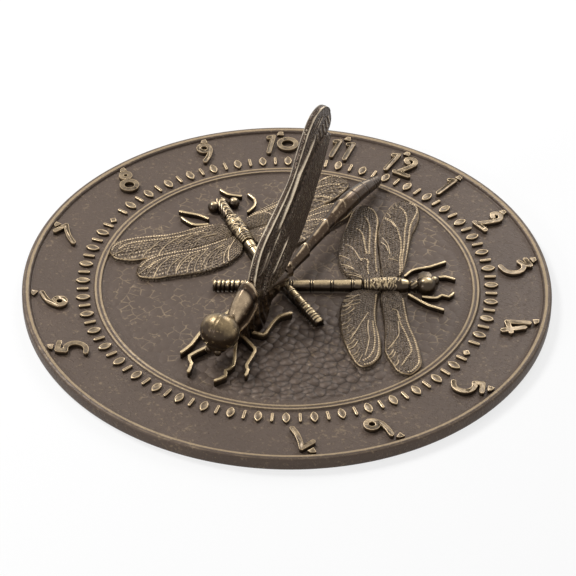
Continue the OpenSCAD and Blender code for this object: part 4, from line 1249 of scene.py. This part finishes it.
def makeChest(p):
    bm, uv = gridOver(300, 160)
    table = throughPoints(p["stations"], 300)
    row = [np.interp(uv[:, 0], np.linspace(0, 1, len(table)), table[:, k]) for k in range(7)]
    y, foot, flank, shoulder, shoulderZ, topZ, lowZ = row
    t = np.minimum(uv[:, 1], 1 - uv[:, 1]) / 0.5
    waistZ = lowZ + 0.45 * (shoulderZ - lowZ)
    low = unit(t / 0.36)
    middle = unit((t - 0.36) / 0.26)
    high = unit((t - 0.62) / 0.38) * math.pi / 2
    x = foot + (flank - foot) * eased(low) + (shoulder - flank) * eased(middle)
    x = np.where(t > 0.62, shoulder * np.cos(high), x)
    z = lowZ + (waistZ - lowZ) * low + (shoulderZ - waistZ) * middle + (topZ - shoulderZ) * np.sin(high)
    wave = np.sin(2 * math.pi * uv[:, 0] * p["flutes"] + 2.4 * t)
    x = x + p["fluteDepth"] * wave * unit(t / 0.15) * unit((0.6 - t) / 0.1)
    # A raised rim runs along both shoulders, and a round knob closes the shield at the back
    rimFade = unit((p["rimStart"] + 1.5 - y) / 1.5) * unit((y + 62.4) / 3)
    rim = bell(t - 0.62, 0.028) * rimFade
    beyond = bell(t - 0.70, 0.03) * rimFade
    knob = bell(y + 43.8, 1.5) * unit((t - 0.62) / 0.1)
    collar = bell(y + 47.4, 0.7) * unit((t - 0.62) / 0.1)
    swell = 0.7 * rim - 0.3 * beyond + 0.5 * knob - 0.45 * collar
    grow = 1 + swell / np.maximum(shoulder, 2)
    x = x * grow
    z = np.where(t > 0.62, shoulderZ + (z - shoulderZ) * (1 + 0.06 * (knob - collar)), z)
    # The shield is rubbed tan with a painted highlight; grooves and flute troughs get patina and painted
    # shade
    shield = unit((t - 0.66) / 0.2) * unit((-46 - y) / 4)
    patinaAndShade = 0.8 * beyond + 0.9 * collar + 0.5 * unit((0.55 - t) / 0.1) * (0.5 - 0.5 * wave)
    rubAndShading = np.clip(0.65 * shield + 0.95 * rim + 0.95 * knob - patinaAndShade, -1, 1)
    shapeGrid(bm, np.stack([np.where(uv[:, 1] < 0.5, x, -x), y, z], 1), rubAndShading)
    closeHoles(bm)
    finishPiece(bm, "chestCast", "bronzeGnomon", ["gnomon_thorax"], 50)


makeChest(chest)

tail = {
    # y, height, radius
    "stations": [(-3.8, 15.5, 3.9), (0, 15.4, 4.0), (19, 16.6, 4.0), (42, 18.5, 4.2), (61, 19.6, 5.2),
                 (73, 19.4, 5.4), (87, 17.2, 4.9), (98, 14.2, 4.1), (105, 12.4, 3.3), (108.8, 11.6, 2.4)],
    "joints": [-4, 0.5, 19, 42, 61],
    "rings": [76, 88, 98.5, 101, 104],
    "flare": 1.1,
    "crest": 3.0,
    "lip": 0.12,
    "ringDepth": 0.2,
    "keel": 0.16,
    "keelEnd": 66,
    "clearance": 1.12,
}


def makeTail(p):
    bm, uv = gridOver(520, 72)
    line = throughPoints(p["stations"], 300)
    steps = np.linspace(0, 1, 300)
    y, z, r = (np.interp(uv[:, 0], steps, line[:, k]) for k in range(3))
    angle = 2 * math.pi * uv[:, 1]
    top = unit(np.cos(angle))
    # The wide end of a slender segment reaches over the next one in a point
    own = y - p["crest"] * top ** 5
    flare = np.zeros(len(y))
    lip = np.zeros(len(y))
    for a, b in zip(p["joints"][:-1], p["joints"][1:]):
        part = unit((own - a) / (b - a))
        inside = (own >= a) & (own < b)
        flare = np.where(inside, p["flare"] * (1 - part ** 1.6), flare)
        lip = np.where(inside, bell(b - own, 0.7), lip)
    last = p["joints"][-1]
    after = own >= last
    flare = np.where(after, 0.7 * p["flare"] * np.exp(-(own - last) / 4), flare)
    rings = sum(bell(y - j, 0.6) for j in p["rings"])
    keel = 1 + p["keel"] * top ** 8 * (y < p["keelEnd"])
    cap = unit(np.minimum(uv[:, 0] / 0.004, (1 - uv[:, 0]) / 0.012)) ** 0.5
    rr = (r - flare + p["lip"] * lip - p["ringDepth"] * rings) * keel * cap
    up = np.maximum(z + rr * np.cos(angle), fieldZ + p["clearance"])
    # A rubbed crest with a painted highlight along its top, painted shade down the sides, and dark joint
    # rings
    rubAndShading = 0.45 * top ** 90 + 0.9 * lip * top ** 2 + 0.34 * top ** 3
    side = 0.5 * unit(1 - 2 * top)
    rubAndShading = np.clip(rubAndShading - side - 0.8 * rings - 0.5 * (flare > 0.8 * p["flare"]), -1, 1)
    shapeGrid(bm, np.stack([rr * np.sin(angle), y, up], 1), rubAndShading)
    closeHoles(bm)
    finishPiece(bm, "tailCast", "bronzeGnomon", ["gnomon_tail"], 50)


makeTail(tail)

head = {
    "centre": (0, -74.6, 24.0),
    "radii": (11.4, 10.3, 10.4),
    "muzzle": (0, -77.4, 17.2),
    "muzzleRadii": (6.6, 6.0, 5.4),
    "jaws": ((2.6, -81.6, 14.8), (2.4, 2.0, 2.4)),
    "nape": ((0, -66.2, 22.6), (5.4, 2.6, 5.4)),
    "seamWidth": 0.5,
    "seamDepth": 0.03,
    "browSide": 6.5,
    "browWidth": 0.6,
    "browRise": 0.012,
}


def makeHead(p):
    bm = bmesh.new()
    addBall(bm, (0, 0, 0), p["radii"], 0, 120, 80)
    for v in bm.verts:
        q = v.co / mm
        seam = bell(q.x, p["seamWidth"]) * (q.z > -4)
        brow = bell(abs(q.x) - p["browSide"], p["browWidth"]) * bell(q.y + 6, 4)
        v.co = q * (1 - p["seamDepth"] * seam + p["browRise"] * brow) * mm
    bmesh.ops.translate(bm, verts=bm.verts, vec=Vector(p["centre"]) * mm)
    addBall(bm, p["muzzle"], p["muzzleRadii"], 0, 48, 32)
    (x, y, z), radii = p["jaws"]
    for side in (1, -1):
        addBall(bm, (x * side, y, z), radii, 0, 24, 16)
    addBall(bm, *p["nape"], 0, 32, 20)
    bm.normal_update()
    # Painted light: faces turned up or sideways are rubbed lighter, faces turned down get painted shade
    setRubAndShading(bm, [0.66 * max(0, 0.75 * v.normal.z + 0.5 * abs(v.normal.x)) ** 1.3 - 0.3 * max(0, -v.normal.z)
                for v in bm.verts])
    finishPiece(bm, "headCast", "bronzeHead", ["gnomon_head"], 60)


makeHead(head)
softCopy("gnomon_legs", "gnomonLegs", 0.62, 3, "bronzeInsect", 0, sharp=4.5)
print("gnomon made")

for node in ("gnomon_screws", "gnomon_washers"):
    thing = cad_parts[node]
    thing.data.materials.clear()
    thing.data.materials.append(zincSteel)

# Studio: pale floor, broad soft lights, white behind the object

studio = {
    "key": {"place": (-0.95, 0.15, 1.1), "size": 0.45, "power": 15.0},
    "back": {"place": (-0.1, 1.3, 0.9), "size": 0.8, "power": 8.0},
    "front": {"place": (-0.55, -1.2, 0.65), "size": 0.3, "power": 3.5},
    "world": 0.3,
    "paper": (0.93, 0.93, 0.93, 1),
    "whiteShare": 0.75,
}


def makeLight(name, setup):
    data = bpy.data.lights.new(name, "AREA")
    data.shape = "DISK"
    data.size = setup["size"]
    data.energy = setup["power"]
    lamp = addThing(name, data)
    place = Vector(setup["place"])
    lamp.location = place
    lamp.rotation_euler = (-place).to_track_quat("-Z", "Y").to_euler()


for name in ("key", "back", "front"):
    makeLight(name, studio[name])


# One where the camera, a reflection or glass looks at it, and zero for the light it gives
def lookedAt(tree):
    path = tree.nodes.new("ShaderNodeLightPath").outputs
    seen = most(Wire(path["Is Camera Ray"]), Wire(path["Is Glossy Ray"]))
    return most(seen, Wire(path["Is Transmission Ray"]))


# One shader where nobody looks, and the other where the camera or a reflection does
def mixShaders(tree, share, given, seen, target):
    mix = newNode(tree, "ShaderNodeMixShader", {0: share, 1: Wire(given), 2: Wire(seen)})
    plug(Wire(mix.outputs[0]), target)


def makeWorld():
    world = bpy.data.worlds.new("studio")
    world.use_nodes = True
    tree = world.node_tree
    sky = tree.nodes["Background"]
    plug((1, 1, 1, 1), sky.inputs["Color"])
    plug(studio["world"], sky.inputs["Strength"])
    plain = newNode(tree, "ShaderNodeBackground", {"Color": (1, 1, 1, 1), "Strength": 1.0})
    target = tree.nodes["World Output"].inputs["Surface"]
    mixShaders(tree, lookedAt(tree), sky.outputs[0], plain.outputs[0], target)
    bpy.context.scene.world = world


# The paper floor keeps a share of its own light, so that the object's shadow stays on it
def makeFloor():
    bm = bmesh.new()
    bmesh.ops.create_grid(bm, x_segments=1, y_segments=1, size=6)
    data = bpy.data.meshes.new("floor")
    bm.to_mesh(data)
    bm.free()
    paper, tree, shader = newMaterial("paper")
    plug(studio["paper"], shader["Base Color"])
    plug(0.9, shader["Roughness"])
    white = tree.nodes.new("ShaderNodeEmission")
    share = lookedAt(tree) * studio["whiteShare"]
    mixShaders(tree, share, tree.nodes["Principled BSDF"].outputs[0], white.outputs[0],
               tree.nodes["Material Output"].inputs["Surface"])
    data.materials.append(paper)
    addThing("floor", data)


makeWorld()
makeFloor()

bpy.context.scene.view_settings.view_transform = "Standard"
print("scene ready")
